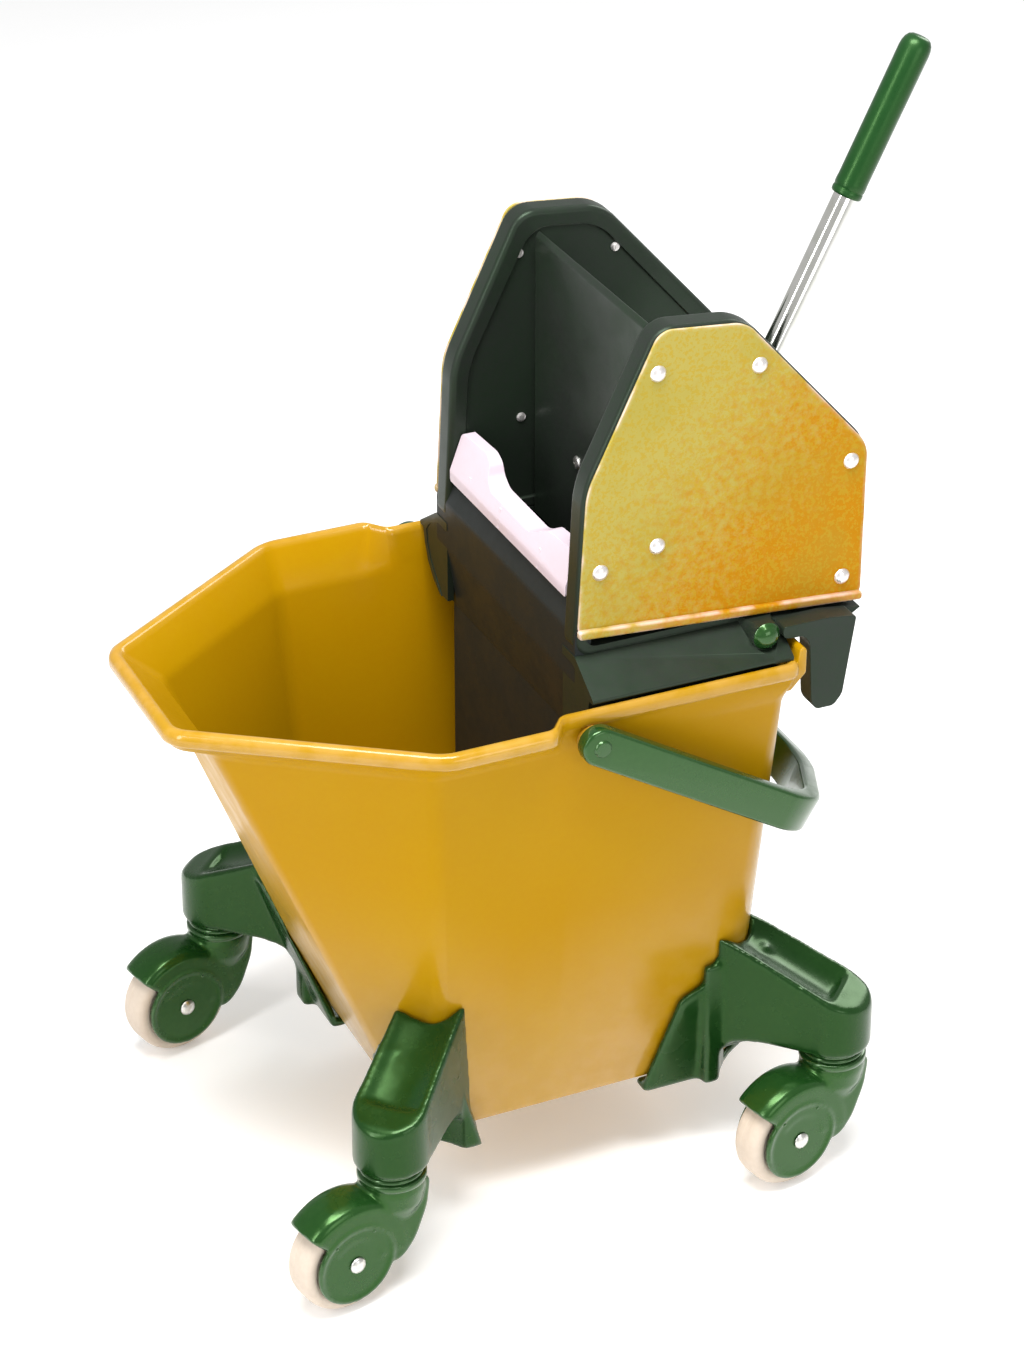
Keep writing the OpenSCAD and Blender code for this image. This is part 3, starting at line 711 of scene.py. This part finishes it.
def fork():
    """Closed solids that overlap, merged into one skin, then hollowed for the wheel"""
    solids = [placed(hood_section(), Matrix.Translation((-TRAIL, 0, WHEEL)))]
    for side in (-1, 1):
        solids.append(rod("cheek", mm(30.5), (-TRAIL, side * mm(8), WHEEL),
                          (-TRAIL, side * mm(17.0), WHEEL), 72))
        rim = [(31.5, -4.5), (31.5, 0.9), (30, 1.6), (28.6, 0.9), (28.6, -4.5), (31.5, -4.5)]
        solids.append(turned("rim", profile(rim), 72,
                             Matrix.Translation((-TRAIL, side * mm(17.2), WHEEL))
                             @ Matrix.Rotation(radians(-90 * side), 4, "X")))
    solids.append(prism("column", scaled([(-14, 88), (22, 88), (19, 64), (9, 40), (-2, 28),
                                          (-12, 26), (-24, 40), (-26, 62)]),
                        mm(-17), mm(17), radius=mm(5), edge=mm(4)))
    solids.append(turned("front", profile([(0, 60), (17, 61), (22, 72), (24, 84), (23.4, 91),
                                           (0, 91)]), 64))
    body = melt(joined("fork_solid", solids), mm(1.1), 3)
    cut(body, rod("well", mm(43), (-TRAIL, mm(-14), WHEEL), (-TRAIL, mm(14), WHEEL), 96))
    cut(body, prism("below", scaled([(-110, -5), (1.5, -5), (1.5, 40.3), (-110, 40.3)]),
                    mm(-13.9), mm(13.9)))
    melt(body, mm(1.1), 2)
    collars = [turned("ring", [(0, mm(low)), (mm(r - 1.2), mm(low)), (mm(r), mm(low + 1.2)), (mm(r), mm(high - 1.2)),
                               (mm(r - 1.2), mm(high)), (0, mm(high))], 64)
               for r, low, high in ((24.5, 88.6, 94.4), (22.5, 94.0, 98.0))]
    dots = []
    for side in (-1, 1):
        for a, r in ((58, 27), (128, 27)):
            spot = mm(-42 + r * cos(radians(a)), side * 17.3, 40 + r * sin(radians(a)))
            bm = bmesh.new()
            bmesh.ops.create_uvsphere(bm, u_segments=16, v_segments=10, radius=mm(1.3))
            bmesh.ops.translate(bm, verts=bm.verts, vec=spot)
            dots.append(to_object("dot", bm))
    return joined("fork", [body] + collars + dots)


at_casters("fork", fork(), green_gloss, "caster", 180)

# %% [markdown]
# Wheels are turned pieces: a cream tyre with rounded shoulders, on a nylon hub with a dished
# web. The axle ends in a bright domed head on each side, seated on a small washer.


# %% Wheels, axles and swivels
def on_axle(height=0.0):
    return Matrix.Translation((-TRAIL, 0, WHEEL)) @ ALONG_Y @ Matrix.Translation((0, 0, height))


tread = turned("tread", profile([
    (30, -11.5), (33, -12.4), (36, -12.1), (38, -11), (39.3, -9), (39.9, -6), (40, -2.5), (39.8, -2.2),
    (39.8, 2.2), (40, 2.5), (39.9, 6), (39.3, 9), (38, 11), (36, 12.1), (33, 12.4), (30, 11.5),
    (30, -11.5)]), 96, on_axle())
at_casters("tread", tread, wheel_cream, "wheel")
hub = turned("hub", profile([
    (4.1, -13.4), (8.4, -13.4), (9.6, -12.8), (10.2, -10), (11.6, -5), (14, -4), (24, -4), (25.6, -5),
    (26.2, -9), (27, -9.5), (30, -9.6), (30.1, 0), (30, 9.6), (27, 9.5), (26.2, 9), (25.6, 5), (24, 4), (14, 4),
    (11.6, 5), (10.2, 10), (9.6, 12.8), (8.4, 13.4), (4.1, 13.4), (4.1, -13.4)]), 96, on_axle())
at_casters("hub", hub, hub_cream, "wheel")
axle = turned("axle", profile([
    (0, -21), (2, -20.8), (4.2, -20), (5.8, -18.9), (6.2, -18), (6.2, -17.5), (3.9, -17.5), (3.9, 17.5),
    (6.2, 17.5), (6.2, 18), (5.8, 18.9), (4.2, 20), (2, 20.8), (0, 21)]), 48, on_axle())
at_casters("axle", axle, zinc, "caster")
washer = turned("swivel_washer", profile([
    (5.6, 98), (20.5, 98), (21.8, 98.6), (22, 99.8), (21.8, 101), (20.5, 101.7), (5.6, 101.7), (5.6, 98)]), 72)
at_casters("swivel_washer", washer, green_gloss, "caster")
stem = turned("stem", profile([
    (0, 82), (5, 82), (5.5, 82.6), (5.5, 124), (5.1, 124.6), (4.9, 125.5), (5.1, 126.4), (5.5, 127),
    (5.5, 129), (4.6, 130), (0, 130)]), 40)
at_casters("stem", stem, zinc, "caster")

# %% [markdown]
# The carrying bail is a flat green strap bent round the back of the bucket. It hangs from a pin
# on each side. Its plan is drawn level with rounded bends, raised to the height of the strap,
# its long edges are rounded, and then it is turned down to where it rests.

# %% Bail
BAIL_PIVOT, BAIL_DROP = mm(-14, 0, 390), radians(31)
reach, outer, inner = 243, 169, 157
plan = both([(reach - 12, 70), (reach - 60, inner), (-14, inner), (-14, outer), (reach - 52, outer),
             (reach, 76)])
bm = bmesh.new()
verts = [bm.verts.new((x / 1000, y / 1000, mm(-14))) for x, y in plan]
face = bm.faces.new(verts)
bends = [v for v in verts if v.co.x > 0]
bmesh.ops.bevel(bm, geom=bends, offset=mm(24), segments=8, profile=0.5, affect="VERTICES",
                material=-1, clamp_overlap=True)
top = bmesh.ops.extrude_face_region(bm, geom=bm.faces[:])["geom"]
bmesh.ops.translate(bm, verts=[g for g in top if isinstance(g, bmesh.types.BMVert)], vec=mm(0, 0, 28))
bail = to_object("bail_strap", bm)
ends = rod("ends", mm(14), mm(0, -180, 0), mm(0, 180, 0), 64)
front = prism("front", scaled([(0, -15), (300, -15), (300, 15), (0, 15)]), mm(-190), mm(190))
cut(bail, joined("keep", [cut(ends, front, "UNION")]), "INTERSECT")
for side in (-1, 1):
    cut(bail, rod("bore", mm(5.1), mm(0, side * 155, 0), mm(0, side * 165.5, 0)))
bm = bmesh.new()
bm.from_mesh(bail.data)
bmesh.ops.remove_doubles(bm, verts=bm.verts, dist=1e-5)
bmesh.ops.dissolve_limit(bm, angle_limit=radians(1), verts=bm.verts, edges=bm.edges)
long_edges = [e for e in bm.edges if e.is_manifold and e.calc_face_angle(0) > radians(50)
              and not (abs(e.verts[0].co.x) < mm(6) and abs(e.verts[1].co.x) < mm(6)
                       and Vector((e.verts[0].co.x, e.verts[0].co.z)).length < mm(7))]
bmesh.ops.bevel(bm, geom=long_edges, offset=mm(2.6), segments=4, profile=0.5, affect="EDGES",
                material=-1, clamp_overlap=True)
bm.to_mesh(bail.data)
bm.free()
caps = [turned("cap", profile([(0, 169), (0, 171), (5.2, 170.6), (6.2, 169.6), (6.6, 168.4), (0, 168.4)]), 40,
               Matrix.Diagonal((1, side, 1, 1)) @ ALONG_Y) for side in (-1, 1)]
bail = joined("bail_strap", [bail] + caps)
placed(bail, Matrix.Translation(BAIL_PIVOT) @ Matrix.Rotation(BAIL_DROP, 4, "Y"))
finish_piece(bail, green_gloss, "bail", ["bail_handle"], 35)
pins = joined("bail_pin_pair", [
    turned("pin", profile([(0, 146.6), (5, 146.6), (5, 164.2), (4.2, 165), (0, 165)]), 40,
           Matrix.Translation(BAIL_PIVOT) @ Matrix.Diagonal((1, side, 1, 1)) @ ALONG_Y) for side in (-1, 1)])
finish_piece(pins, zinc, "bucket", ["bail_pins"])

# %% [markdown]
# The wringer's two walls stand on the bucket rim. Each is a moulded panel with a deep rounded
# edge all round, and a steel plate is riveted on its outside. The wall and the plate each have
# their own outline, of much the same shape, and their corners are rounded by a bevel.

# %% Wringer walls
CROWN = [(-6, 556), (46, 665), (111, 659), (208, 551), (208, 431)]
WALL = [(-12, 431)] + CROWN
RIVETS = [(46, 633), (121, 625), (194, 540), (191, 452), (48, 506), (6, 495)]
PIVOT = mm(125, 0, 428)


def wall_side():
    """One wall, with its panel recessed on the outer side"""
    wall = prism("wall", scaled(WALL), mm(98), mm(118), radius=mm(13), segments=6, edge=mm(4.5),
                 edge_segments=5)
    # a shallow panel inside leaves a raised border that catches the light
    panel = prism("panel", scaled([(1, 441), (6, 553), (55, 652), (106, 647), (196, 545), (196, 441)]),
                  mm(94), mm(100), radius=mm(14), segments=6, edge=mm(1.9), edge_segments=4)
    cut(wall, panel)
    recess = prism("recess", scaled([(-4, 439), (1, 553), (50, 656), (108, 650), (200, 547), (200, 439)]),
                   mm(102), mm(121), radius=mm(9), segments=5)
    cut(wall, recess)
    for x, z in RIVETS:
        cut(wall, rod("post", mm(6.2), mm(x, 100, z), mm(x, 117.9, z), 32), "UNION")
    return wall


def skirt_side():
    """The skirt below the wall, the hook behind the rear lip and the boss of the pivot"""
    skirt = prism("skirt", scaled([(98.2, 433.8), (117.8, 433.6), (147.4, 414), (147.4, 411.5), (141, 411.4), (139, 400),
                                   (133, 387), (124, 377), (112, 369.2), (108.4, 369), (119, 379), (129, 390),
                                   (135, 402), (136, 412), (130, 419), (114, 427), (98.2, 427)]),
                  mm(-11.4), mm(129.8), axis="X", radius=mm(1.0), segments=2)
    upper = prism("upper", scaled([(98.2, 433.8), (117.8, 433.6), (147.4, 414), (147.4, 411.5), (134.5, 411.5),
                                   (130, 419), (114, 427), (98.2, 427)]), mm(126), mm(140.8), axis="X")
    cut(skirt, upper, "UNION")
    front = prism("front", scaled([(98.6, 433.2), (117.6, 433.2), (147, 413.7), (147, 411.8), (140.6, 411.6),
                                   (138.6, 400.2), (132.6, 387.3), (123.6, 377.4), (112, 369.8), (98.6, 369.8)]),
                  mm(-10.9), mm(-6), axis="X")
    cut(skirt, front, "UNION")
    hook = prism("hook", scaled([(136, 426), (141, 424), (152, 424), (157, 417), (160, 370), (164, 363), (178, 363), (184.5, 371),
                                 (193, 431), (170, 434), (136, 434)]), mm(124), mm(140),
                 radius=mm(4), segments=5, edge=mm(2.4), edge_segments=4)
    cut(skirt, hook, "UNION")
    bridge = prism("bridge", scaled([(134, 426), (196, 424), (204, 429), (134, 434)]), mm(98.6), mm(126),
                   radius=mm(1.5), segments=3)
    cut(skirt, bridge, "UNION")
    boss = turned("boss", profile([(0, 114), (15, 114), (12.5, 122), (10.6, 130), (10.5, 135.9), (0, 135.9)]), 64,
                  Matrix.Translation(PIVOT) @ ALONG_Y)
    cut(boss, prism("flat", scaled([(100, 436.5), (150, 436.5), (150, 450), (100, 450)]), mm(110), mm(145)))
    cut(skirt, boss, "UNION")
    cut(skirt, rod("seat", mm(10.7), PIVOT + mm(0, 135.95, 0), PIVOT + mm(0, 150, 0), 64))
    return skirt


walls = []
for side in (1, -1):
    wall = cut(wall_side(), skirt_side(), "UNION")
    cut(wall, rod("bush", mm(7.5), PIVOT + mm(0, 96, 0), PIVOT + mm(0, 150, 0), 64))
    walls.append(placed(wall, Matrix.Diagonal((1, side, 1, 1))))
print("walls", [len(w.data.polygons) for w in walls])

# %% [markdown]
# Between the walls hangs the hopper that catches the wrung water, with drain holes in its
# floor. Its front turns out into a sloping ledge that carries the jaw.

# %% Hopper
bm = bmesh.new()
shell = [(-3, 112), (116, 112)]


def hopper_level(z, inset, inner=0.0):
    return (scaled(both([(-3 + inset, 112 - inset), (116 - inset, 112 - inset)])), mm(z), mm(max(8 - inner, 3)))


stack(bm, [hopper_level(219, 7), hopper_level(220.5, 3), hopper_level(226, 0.6), hopper_level(233, 0),
           hopper_level(375, 0), hopper_level(375, 4, 3), hopper_level(233, 4, 3), hopper_level(226, 5, 3),
           hopper_level(223, 9, 3)])
hopper = to_object("hopper", bm)
holes = []
for i in range(4):
    for j in range(7):
        x, y = 14 + 29 * i, -87 + 29 * j
        holes.append(rod("hole", mm(6), mm(x, y, 210), mm(x, y, 230), 24))
cut(hopper, joined("holes", holes))
ledge = prism("ledge", scaled([(-3, 363), (1, 363), (1, 443), (8, 463), (8, 468), (-4, 468), (-11, 449),
                               (-11, 413)]), mm(-117), mm(117), radius=mm(2), segments=4)
back = prism("back", scaled([(112, 363), (116, 363), (116, 403), (112, 403)]), mm(-131), mm(131),
             radius=mm(1), segments=2)
hopper = soften(joined("hopper_shell", [hopper, ledge]), mm(0.9), 2, 40)
finish_piece(hopper, black_matt, "wringer", sharp=180)
frame_piece = joined("wringer_shell", walls + [back])
soften(frame_piece, mm(0.9), 2, 40)
finish_piece(frame_piece, black_satin, "wringer", ["wringer_frame"], 180)

# %% [markdown]
# The side plates are pressed from sheet: a flat panel with bevelled, rounded edges and a rolled
# bead along the bottom. The bead is a second slim solid, because a press rolls it from the
# same sheet and only its outside shows.

# %% Side plates and rivets
PLATE = [(-10.5, 448), (-4.6, 555.6), (47, 663.5), (110.4, 657.6), (206.5, 550.4), (206.5, 432.6)]
for side, name in ((-1, "left"), (1, "right")):
    sheet = prism("sheet", scaled(PLATE), mm(118), mm(120), radius=mm(9), segments=8, edge=mm(0.9))
    bead = prism("bead", scaled([(-10.5, 448), (206.5, 432), (206.5, 438.6), (-10.5, 454.8)]), mm(118), mm(123.6),
                 radius=mm(2.6), segments=5, edge=mm(2), edge_segments=5)
    # one loop just inside the rim keeps the rubbed look and the painted highlight at the edge of the flat
    bm = bmesh.new()
    bm.from_mesh(sheet.data)
    broad = [f for f in bm.faces if f.calc_area() > mm(80) ** 2]
    bmesh.ops.inset_individual(bm, faces=broad, thickness=mm(2.4), use_even_offset=True)
    bm.to_mesh(sheet.data)
    bm.free()
    plate = placed(joined("side_plate_" + name, [sheet, bead]), Matrix.Diagonal((1, side, 1, 1)))
    finish_piece(plate, passivated, "wringer", ["side_plate_" + name], 35)
    heads = []
    for x, z in RIVETS:
        at = Matrix.Diagonal((1, side, 1, 1)) @ Matrix.Translation(mm(x, 0, z)) @ ALONG_Y
        heads.append(turned("rivet", profile([(0, 123), (1.8, 122.85), (3.6, 122.3), (5, 121.3), (5.8, 120.3),
                                              (5.9, 120), (0, 120)]), 32, at))
        heads.append(turned("tail", profile([(0, 98.3), (2, 98.3), (2, 120), (0, 120)]), 20, at))
        # the clinched end stands proud of the panel inside the wall
        heads.append(turned("clinch", profile([(0, 98.2), (2.2, 98.4), (3.4, 99.2), (3.6, 100.4), (0, 100.4)]), 24, at))
    finish_piece(joined("rivets_" + name, heads), rivet_zinc, "wringer", ["rivets_" + name])

# %% [markdown]
# The fixed jaw is a white moulding that the mop is pressed against. Its top edge dips in the
# middle, and folded gussets stiffen its front face where it stands on the ledge.

# %% Front jaw
jaw = prism("front_jaw_moulding", scaled([(-9, 468.3), (10, 468.3), (10, 523), (5, 523), (2.6, 509), (-9, 477)]),
            mm(-97), mm(97))
face = prism("face", scaled([(-97, 468), (97, 468), (97, 504), (56, 506), (47, 502), (43, 493), (34, 487), (-30, 486),
                             (-38, 489), (-52, 497), (-97, 500)]), mm(-12), mm(12), axis="X",
             radius=mm(3), segments=4)
cut(jaw, face, "INTERSECT")
for y in (66, 14, -52):
    # a folded gusset: a slim wedge that fades out up the sloping face
    wedge = prism("wedge", scaled([(-9.6, 469), (4, 469), (4, 484), (-7.2, 484)]), mm(y - 1.2), mm(y + 1.2))
    cut(jaw, wedge, "UNION")
soften(jaw, mm(1.1), 3, 35)
finish_piece(jaw, jaw_white, "wringer", ["front_jaw"], 180)

# %% [markdown]
# The press swings on the rod: a ribbed black plate, the carrier that clamps the lever tube, and
# the lever with its grip. The plate and the carrier are ribbed mouldings, so each is a few
# prisms joined together with their edges rounded.

# %% Press
LEAN = Matrix.Translation(mm(125, 0, 428)) @ Matrix.Rotation(radians(26.2), 4, "Y")
plate = prism("face", scaled([(56, 431), (62, 427), (68, 433), (64, 643), (59, 650), (56, 646)]), mm(-94), mm(94),
              radius=mm(1.2), segments=3, edge=mm(1.2))
for y in (-84, -50, 45, 79):
    rib = prism("rib", scaled([(63, 429), (100, 423), (96, 473), (74, 623), (63, 633)]), mm(y), mm(y + 5),
                radius=mm(4), segments=4, edge=mm(0.8), edge_segments=2)
    cut(plate, rib, "UNION")
plate.name = "press_board"
soften(plate, mm(0.7), 2, 40)
finish_piece(plate, black_satin, "press", ["press_plate"], 180)
hub = rod("hub", mm(14.5), mm(125, -93, 428), mm(125, 93, 428), 64)
web = prism("web", scaled([(68, 433), (123, 414), (134, 439), (118, 477), (67, 523)]), mm(-32), mm(32), radius=mm(3),
            edge=mm(1.5))
cut(hub, web, "UNION")
for side in (-1, 1):
    low, high = sorted((mm(60 * side), mm(74 * side)))
    cut(hub, prism("arm", scaled([(68, 433), (123, 414), (128, 441), (68, 473)]), low, high, radius=mm(3),
                   edge=mm(1)), "UNION")
socket = turned("socket", profile([(0, 0), (15, 0), (15, 83), (14.4, 85), (12.5, 86), (0, 86)]), 64, LEAN)
cut(hub, socket, "UNION")
cut(hub, rod("bore", mm(8.5), LEAN @ mm(0, 0, 14), LEAN @ mm(0, 0, 104), 64))
cut(hub, rod("shaft", mm(6), mm(125, -100, 428), mm(125, 100, 428), 48))
hub.name = "press_carrier"
soften(hub, mm(0.8), 2, 40)
finish_piece(hub, black_satin, "press", ["press_hub"], 180)

# %% [markdown]
# The lever is a chromed tube. Its grip is a green sleeve with a rounded end, a rolled cuff at
# the mouth and fine rings at the cuff, all turned in one profile. Both are made upright and
# leaned back together.

# %% Lever
tube = turned("lever_tube_bright", profile([
    (7, 14), (8.5, 14), (8.5, 393), (8, 394), (7, 394), (7, 14)]), 64, LEAN)
finish_piece(tube, chrome, "press", ["lever_tube"])
grip = turned("lever_grip_sleeve", profile([
    (8.5, 280), (10.4, 280), (11, 280.6), (11.25, 281.6), (11.25, 284), (10.9, 284.6), (10.9, 285.6),
    (11.25, 286.2), (11.25, 290), (11.05, 292), (11.05, 300), (11.1, 340), (11.2, 375), (11.25, 389),
    (10.9, 392.6), (9.9, 395.8), (8.2, 398.3), (5.8, 399.6), (3, 400), (0, 400.1),
    (0, 394), (8.5, 394), (8.5, 280)]), 64, LEAN)
finish_piece(grip, green_grip, "press", ["lever_grip"])
bolt = [turned("shank", profile([(0, -15), (3, -15), (3, 15), (0, 15)]), 24, LEAN @ Matrix.Translation(mm(0, 0, 66)) @ ALONG_Y)]
for side in (-1, 1):
    head = turned("nut", profile([(0, 15), (5.5, 15), (5.5, 17.8), (4.9, 18.5), (0, 18.5)]), 6,
                  LEAN @ Matrix.Translation(mm(0, 0, 66)) @ Matrix.Diagonal((1, side, 1, 1)) @ ALONG_Y)
    bolt.append(head)
finish_piece(joined("lever_bolt_steel", bolt), zinc, "press", ["lever_bolt"])

# %% [markdown]
# The rod runs in a bush in each wall and ends under a green cap. A return spring sits on it
# inside each wall. Screws get a slot or a cross, because a plain disc reads as a peg.


# %% Rod, bushes, caps, springs
def across(side=1):
    return Matrix.Translation(PIVOT) @ Matrix.Diagonal((1, side, 1, 1)) @ ALONG_Y


rod_piece = turned("pivot_rod_steel", profile([
    (0, -135), (5.2, -135), (6, -134), (6, 134), (5.2, 135), (0, 135)]), 48, across())
finish_piece(rod_piece, zinc, "press", ["pivot_rod"])
bushes = joined("pivot_bush_pair", [turned("bush", profile([
    (6.05, 98), (7, 98), (7.5, 98.5), (7.5, 135.6), (7, 136), (6.05, 136), (6.05, 98)]), 48, across(s)) for s in (-1, 1)])
finish_piece(bushes, bush_ivory, "wringer", ["pivot_bushes"])
caps = joined("pivot_cap_pair", [turned("cap", profile([
    (0, 142), (3.2, 141.7), (6, 140.7), (7.9, 139.2), (8.8, 137.6), (9.6, 136.9), (10, 136.2), (0, 136.05)]),
    48, across(s)) for s in (-1, 1)])
finish_piece(caps, green_gloss, "wringer", ["pivot_caps"])


def spring(side):
    """A round wire along a helix"""
    path = bpy.data.curves.new("spring", "CURVE")
    path.dimensions, path.bevel_depth, path.bevel_resolution = "3D", mm(1.4), 3
    line = path.splines.new("POLY")
    steps = 4 * 32
    line.points.add(steps)
    for i in range(steps + 1):
        a = 2 * pi * i / 32
        at = PIVOT + mm(16.3 * cos(a), side * (76.5 + 4 * i / 32), 16.3 * sin(a))
        line.points[i].co = (*at, 1)
    path.use_fill_caps = True
    obj = bpy.data.objects.new("spring", path)
    scene.collection.objects.link(obj)
    bpy.context.view_layer.update()
    mesh = bpy.data.meshes.new_from_object(obj.evaluated_get(bpy.context.evaluated_depsgraph_get()))
    bpy.data.objects.remove(obj)
    name = "left" if side < 0 else "right"
    coil = bpy.data.objects.new("return_spring_coil_" + name, mesh)
    scene.collection.objects.link(coil)
    finish_piece(coil, spring_steel, "wringer", ["return_spring_" + name])


spring(-1)
spring(1)

# %% Screws and sleeves


def screw(place, radius, height, length, shank):
    """A pan head with a cross recess, its underside at the origin and its shank below"""
    head = turned("head", profile([(0, height), (radius * 0.5, height * 0.97), (radius * 0.85, height * 0.72),
                                   (radius, height * 0.25), (radius, 0), (shank, 0), (shank, -length), (0, -length)]), 32)
    for turn in (0, 90):
        slot = prism("slot", scaled([(-radius * 0.55, -radius * 0.11), (radius * 0.55, -radius * 0.11),
                                     (radius * 0.55, radius * 0.11), (-radius * 0.55, radius * 0.11)]),
                     mm(height * 0.5), mm(height + 2), axis="Z")
        cut(head, placed(slot, Matrix.Rotation(radians(turn + 20), 4, "Z")))
    return placed(head, place)


TO_FRONT = Matrix.Rotation(radians(-90), 4, "Y")
press_screws = [screw(Matrix.Translation(mm(56, y, z)) @ TO_FRONT, 5, 2, 10.5, 2.5) for y in (-22, 22) for z in (463, 503)]
finish_piece(joined("press_screw_set", press_screws), zinc, "press", ["press_screws"])
sleeves = [turned("sleeve", profile([(5.6, 102), (7.4, 102), (8, 102.6), (8, 134.4), (7.6, 135), (0, 135), (0, 133),
                                     (5.6, 133), (5.6, 102)]), 40, Matrix.Translation(mm(x, y, 0)))
           for x, y in SWIVEL.values()]
finish_piece(joined("stem_sleeve_set", sleeves), sleeve_grey, "bucket", ["stem_sleeves"])

# %% [markdown]
# The floor is only a stage: a wide pale sheet under the wheels that takes a soft shadow.

# %% Floor
bm = bmesh.new()
bmesh.ops.create_grid(bm, x_segments=2, y_segments=2, size=12)
floor = to_object("floor", bm, closed=False)
floor_white, tree, shader = new_material("floor_white")
where = add(tree, "TexCoord").outputs["Object"]
tree.links.new(blend_colour(tree, noise(tree, where, 3.0, 2), (0.94, 0.94, 0.94, 1), (0.96, 0.96, 0.96, 1)),
               shader.inputs["Base Color"])
shader.inputs["Roughness"].default_value = 0.8
shader.inputs["Emission Color"].default_value = (1, 1, 1, 1)
shader.inputs["Emission Strength"].default_value = 0.16
floor.data.materials.append(floor_white)
